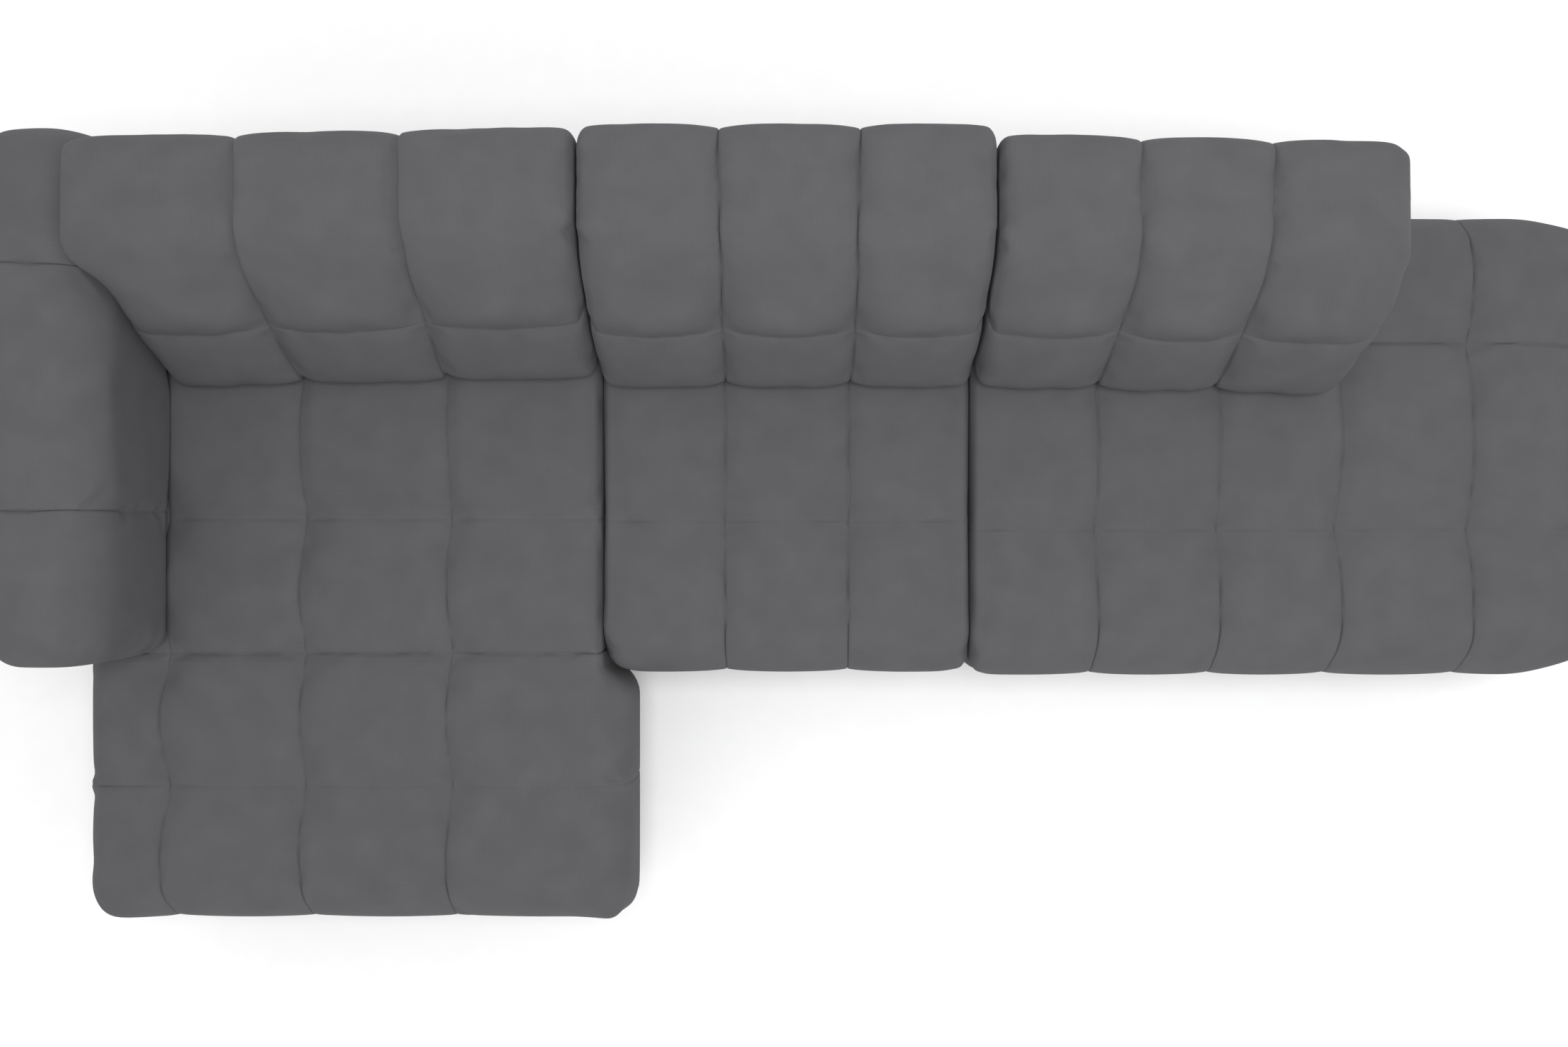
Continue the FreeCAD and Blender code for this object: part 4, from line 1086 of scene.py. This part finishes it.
@dataclass
class ChaiseCover(QuiltedCover):
    """The chaise's cover, whose right side swells where no other platform holds it."""

    row_firmness: Numbers = (0.4, 1.0, 0.4, 0.5)
    round_low: Pair = (50.0, 44.0)
    round_high: Triple = (24.0, 50.0, 46.0)
    proud: Pair = (18.0, 0.0)
    touching: Pair = (0.0, 12.0)

    # The place along the depth in front of which the side is free, its rounding there, how far its top and
    # its middle swell, and from where to where, in front of that place, the rounding and the swelling grow
    free_below: float = -0.282
    free_round: float = 34.0
    swell_top: float = 42.0
    swell_side: float = 40.0
    round_within: Pair = (-20.0, 60.0)
    swell_within: Pair = (-15.0, 50.0)

    def free(self, points: Points, within: Pair) -> Points:
        """How free each point is of the neighbour, from 0 to 1."""
        start, end = within
        return eased(self.free_below - points[:, 1], start * MM, end * MM)

    def radii(self, points: Points) -> tuple[Points, Points]:
        """Rounds the free part of the right side more than the part that touches its neighbour."""
        low, high = super().radii(points)
        high[:, 0] += (self.free_round * MM - high[:, 0]) * self.free(points, self.round_within)
        return low, high

    def leaned(self, points: Points) -> Points:
        """Swells the free side, most of all at half its height."""
        last_seam = self.stops(Axis.ACROSS)[-2]
        share = ramp(self.cut[:, 0], last_seam, self.block_high[0])
        height = self.share_of_block(Axis.UP)
        swell = self.swell_top * height + self.swell_side * arched(height)
        points[:, 0] += swell * MM * self.free(self.cut, self.swell_within) * share ** 2
        return points

    def inside(self, points: Points) -> Points:
        """Leaves the free side out of the pressing."""
        across = points[:, 0].copy()
        points = super().inside(points)
        free = self.cut[:, 1] < self.free_below
        points[free, 0] = np.maximum(across[free], points[free, 0])
        return points


@dataclass
class OpenEndCover(QuiltedCover):
    """A platform's cover whose right end tapers in plan, in a wide arc."""

    row_firmness: Numbers = (0.25, 0.9)
    bow: float = 0.005
    round_low: Pair = (22.0, 30.0)
    proud: Pair = (17.0, 0.0)
    touching: Pair = (12.0, 0.0)
    taper_length: float = 190.0
    taper_radius: float = 370.0

    def leaned(self, points: Points) -> Points:
        """Draws the front and the rear towards each other along the last part of the platform."""
        along = np.maximum(self.cut[:, 0] - (self.block_high[0] - self.taper_length * MM), 0)
        radius = self.taper_radius * MM
        drop = radius - np.sqrt(radius ** 2 - along ** 2)
        middle = (self.block_low[1] + self.block_high[1]) / 2
        half = (self.block_high[1] - self.block_low[1]) / 2
        points[:, 1] = middle + (points[:, 1] - middle) * (1 - drop / half)
        return points


@dataclass
class ArmCover(QuiltedCover):
    """The cover of the arm, sewn into cells along its length, a little narrower in front."""

    channel_depth: float = 3.0
    channel_on_faces: Pair = (0.8, 0.8)
    stitch_depth: float = 2.0
    closing: float = 2.4
    tuft_depth: float = 0.0
    bow: float = 0.0
    rear_bulge: float = 4.0
    proud: Pair = (6.0, 6.0)
    round_low: Pair = (60.0, 45.0)
    round_high: Triple = (100.0, 40.0, 112.0)
    front_edge: Pair = (60.0, 100.0)
    rear_edge: Pair = (50.0, 80.0)
    tuck: float = 26.0
    fill: float = 0.9

    # How much the upper inner side draws in for each metre in front of a place along the depth
    narrowing: float = 0.028
    narrow_below: float = 0.34

    # How far the foot of the inner side spreads in front of the back, the further spread just before it,
    # where this starts and is reached, where it fades and is gone, and where the back covers the foot
    foot_spread: float = 3.0
    flare: float = 24.0
    flare_start: Pair = (0.02, 0.28)
    flare_end: Pair = (0.335, 0.395)
    back_at: float = 0.40

    def bulge_room(self) -> Triple:
        """The arm bulges at its sides."""
        return self.rear_bulge, 0.0, 0.0

    def deep_seams(self) -> Seams:
        """The seams round the arm, counted from the rear end forwards."""
        return Seams(Axis.DEPTH, self.from_rear(self.panels), self.channel_depth * MM,
                     self.channel_reach * MM)

    def shallow_seams(self) -> Seams:
        """The arm has none."""
        return Seams(Axis.ACROSS, (), self.row_depth * MM, self.row_reach * MM)

    def leaned(self, points: Points) -> Points:
        """Draws the upper inner side in towards the front end, and spreads its foot ahead of the back."""
        inner = self.share_of_block(Axis.ACROSS)
        height = self.share_of_block(Axis.UP)
        along = self.cut[:, 1]
        flare = self.flare * eased(along, *self.flare_start) * (1 - eased(along, *self.flare_end))
        spread = (self.foot_spread + flare) * MM * (1 - height) * (along < self.back_at)
        drawn = np.maximum(self.narrow_below - along, 0) * self.narrowing * height
        points[:, 0] += inner * (spread - drawn)
        return points


@dataclass(frozen=True)
class Filling:
    """The cloth under its loose filling; each field has the name of the setting that it gives."""

    quality: int = 4
    mass: float = 0.3
    tension_stiffness: float = 15.0
    compression_stiffness: float = 15.0
    shear_stiffness: float = 8.0
    bending_stiffness: float = 0.8
    shrink_min: float = -0.02
    use_pressure: bool = True
    uniform_pressure_force: float = 5.0
    vertex_group_mass: str = "stitches"

    def blow_up(self, covers: Sequence[QuiltedCover], last_frame: int = 14) -> None:
        """Blows the sewn covers up as cloth, all at once, and hands each its new shape.

        Args:
            covers: The covers, sewn and held at their stitches.
            last_frame: The frame whose shape is kept.
        """
        for cover in covers:
            cloth = cover.piece.modifiers.new("cloth", "CLOTH")
            for setting, value in asdict(self).items():
                setattr(cloth.settings, setting, value)
            cloth.settings.effector_weights.gravity = 0.0
            cloth.collision_settings.use_collision = False
            cloth.point_cache.frame_start = 1
            cloth.point_cache.frame_end = last_frame
        scene = bpy.context.scene
        for number in range(1, last_frame + 1):
            scene.frame_set(number)
        depsgraph = bpy.context.evaluated_depsgraph_get()
        for cover in covers:
            blown = read_points(cover.piece.evaluated_get(depsgraph).data)
            cover.piece.modifiers.clear()
            cover.fill_up(blown)
        scene.frame_set(1)


@dataclass
class Upholstery:
    """All seven padded covers, with the panels and rows that the photograph shows."""

    chaise_panels: Numbers = (173.0, 307.0, 326.0)
    chaise_rows: Numbers = (293.0, 389.0, 299.0, 294.0)
    middle_panels: Numbers = (273.0, 274.0)
    middle_rows: Numbers = (293.0, 392.0)
    right_panels: Numbers = (280.0, 271.0, 267.0, 293.0)
    right_rows: Numbers = (293.0, 412.0)
    left_back_panels: Numbers = (292.0, 320.0)
    middle_back_panels: Numbers = (276.0, 271.0)
    right_back_panels: Numbers = (275.0, 254.0)
    arm_panels: Numbers = (273.0, 484.0)
    back_skew: float = 0.021

    def covers(self) -> list[QuiltedCover]:
        """Every cover, not yet sewn."""
        base = "sofa_base"
        return [
            ChaiseCover("chaise_quilt", "chaise_cover", base, self.chaise_panels, self.chaise_rows,
                        "left_back_glide_tubes"),
            QuiltedCover("middle_quilt", "middle_cover", base, self.middle_panels, self.middle_rows,
                         "middle_back_glide_tubes", row_firmness=(0.25, 0.4), round_low=(46.0, 40.0),
                         round_high=(22.0, 50.0, 46.0), proud=(10.0, 0.0), touching=(12.0, 12.0)),
            OpenEndCover("right_quilt", "right_cover", base, self.right_panels, self.right_rows,
                         "right_back_glide_tubes"),
            BackCover("left_back_quilt", "left_back_cover", "left_back", self.left_back_panels,
                      round_low=(50.0, 55.0), proud=(4.0, 5.0), touching=(0.0, 12.0),
                      skew=self.back_skew, splay=30.0, overhang=56.0),
            BackCover("middle_back_quilt", "middle_back_cover", "middle_back", self.middle_back_panels,
                      proud=(14.0, 6.0)),
            BackCover("right_back_quilt", "right_back_cover", "right_back", self.right_back_panels,
                      round_high=(60.0, 60.0, 60.0), proud=(22.0, 3.0), touching=(12.0, 0.0),
                      skew=-self.back_skew, splay=-15.0, end_swell=9.0),
            ArmCover("arm_quilt", "arm_cover", base, self.arm_panels),
        ]

    def build(self) -> None:
        """Sews, fills, lines and dresses every cover."""
        covers = self.covers()
        for cover in covers:
            cover.sew()
        Filling().blow_up(covers)
        for cover in covers:
            cover.smooth()
            cover.line()
            cover.cut_slots()
            cover.dress()


@dataclass
class Hardware:
    """The frame, springs, glides and feet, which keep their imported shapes."""

    finishes: dict[str, Finish] = field(default_factory=lambda: FINISH_OF_SLOT)

    def dress(self) -> None:
        """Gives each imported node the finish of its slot."""
        for part in frame["record"]["subparts"]:
            piece = bpy.data.objects.get(part["node"])
            if piece is None:
                log.warning("no object for %s", part["node"])
                continue
            finish = self.finishes[part["material_slot"]]
            piece.data.materials.clear()
            piece.data.materials.append(finish.material())
            log.info("%s: %s", part["node"], finish.name)


@dataclass
class Studio:
    """A pale floor, soft light from above, and the camera of the photograph.

    Places and sizes are in metres, the lens in millimetres and the lamp's power in watts.
    """

    camera_place: Triple = (PHOTO_MIDDLE, 0.05, 3.38)
    focal_length: float = 30.5
    sensor_width: float = 36.0
    view_end: float = 100.0
    floor_half: float = 12.0
    lamp_place: Triple = (0.5, 0.0, 6.2)
    lamp_side: float = 2.6
    lamp_power: float = 215.0
    zenith: float = 0.62
    horizon: float = 1.15

    def build(self) -> None:
        """Makes the floor, the light and the camera."""
        self.lay_floor()
        self.hang_lamp()
        self.paint_room()
        self.place_camera()

    def lay_floor(self) -> None:
        """One large pale plane under the feet."""
        plane = bmesh.new()
        bmesh.ops.create_grid(plane, x_segments=1, y_segments=1, size=self.floor_half)
        mesh = kept_mesh("floor", plane)
        mesh.materials.append(FLOOR_PAINT.material())
        link("floor", mesh)

    def hang_lamp(self) -> None:
        """A wide soft lamp overhead."""
        lamp = bpy.data.lights.new("overhead", "AREA")
        lamp.size = self.lamp_side
        lamp.energy = self.lamp_power
        hung = bpy.data.objects.new("overhead", lamp)
        hung.location = self.lamp_place
        bpy.context.scene.collection.objects.link(hung)

    def paint_room(self) -> None:
        """A white room whose walls are brighter than its ceiling."""
        world = bpy.data.worlds.new("studio")
        world.use_nodes = True
        room = Recipe(world.node_tree)
        upward = room.add("ShaderNodeSeparateXYZ", _0=room.add("ShaderNodeTexCoord").outputs["Generated"])
        glow = room.add("ShaderNodeMapRange", Value=upward.outputs["Z"], To_Min=self.horizon,
                        To_Max=self.zenith)
        room.fill(room.tree.nodes["Background"], Color=(1.0, 1.0, 1.0, 1.0), Strength=glow)
        bpy.context.scene.world = world
        bpy.context.scene.view_settings.view_transform = "Standard"

    def place_camera(self) -> None:
        """A camera that looks straight down, with the rear of the sofa at the top of the picture."""
        lens = bpy.data.cameras.new("camera")
        lens.lens = self.focal_length
        lens.sensor_width = self.sensor_width
        lens.clip_end = self.view_end
        camera = bpy.data.objects.new("camera", lens)
        camera.location = self.camera_place
        bpy.context.scene.collection.objects.link(camera)
        bpy.context.scene.camera = camera


def corners(bounds: Iterable[Iterable[float]]) -> list[list[float]]:
    """Turns a box into plain lists of numbers."""
    return [[float(value) for value in corner] for corner in bounds]


def main() -> None:
    """Builds the dressed sofa."""
    logging.basicConfig(level=logging.INFO, format="%(relativeCreated)d ms %(message)s")
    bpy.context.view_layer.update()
    Hardware().dress()
    Upholstery().build()
    Studio().build()


if __name__ == "__main__":
    main()
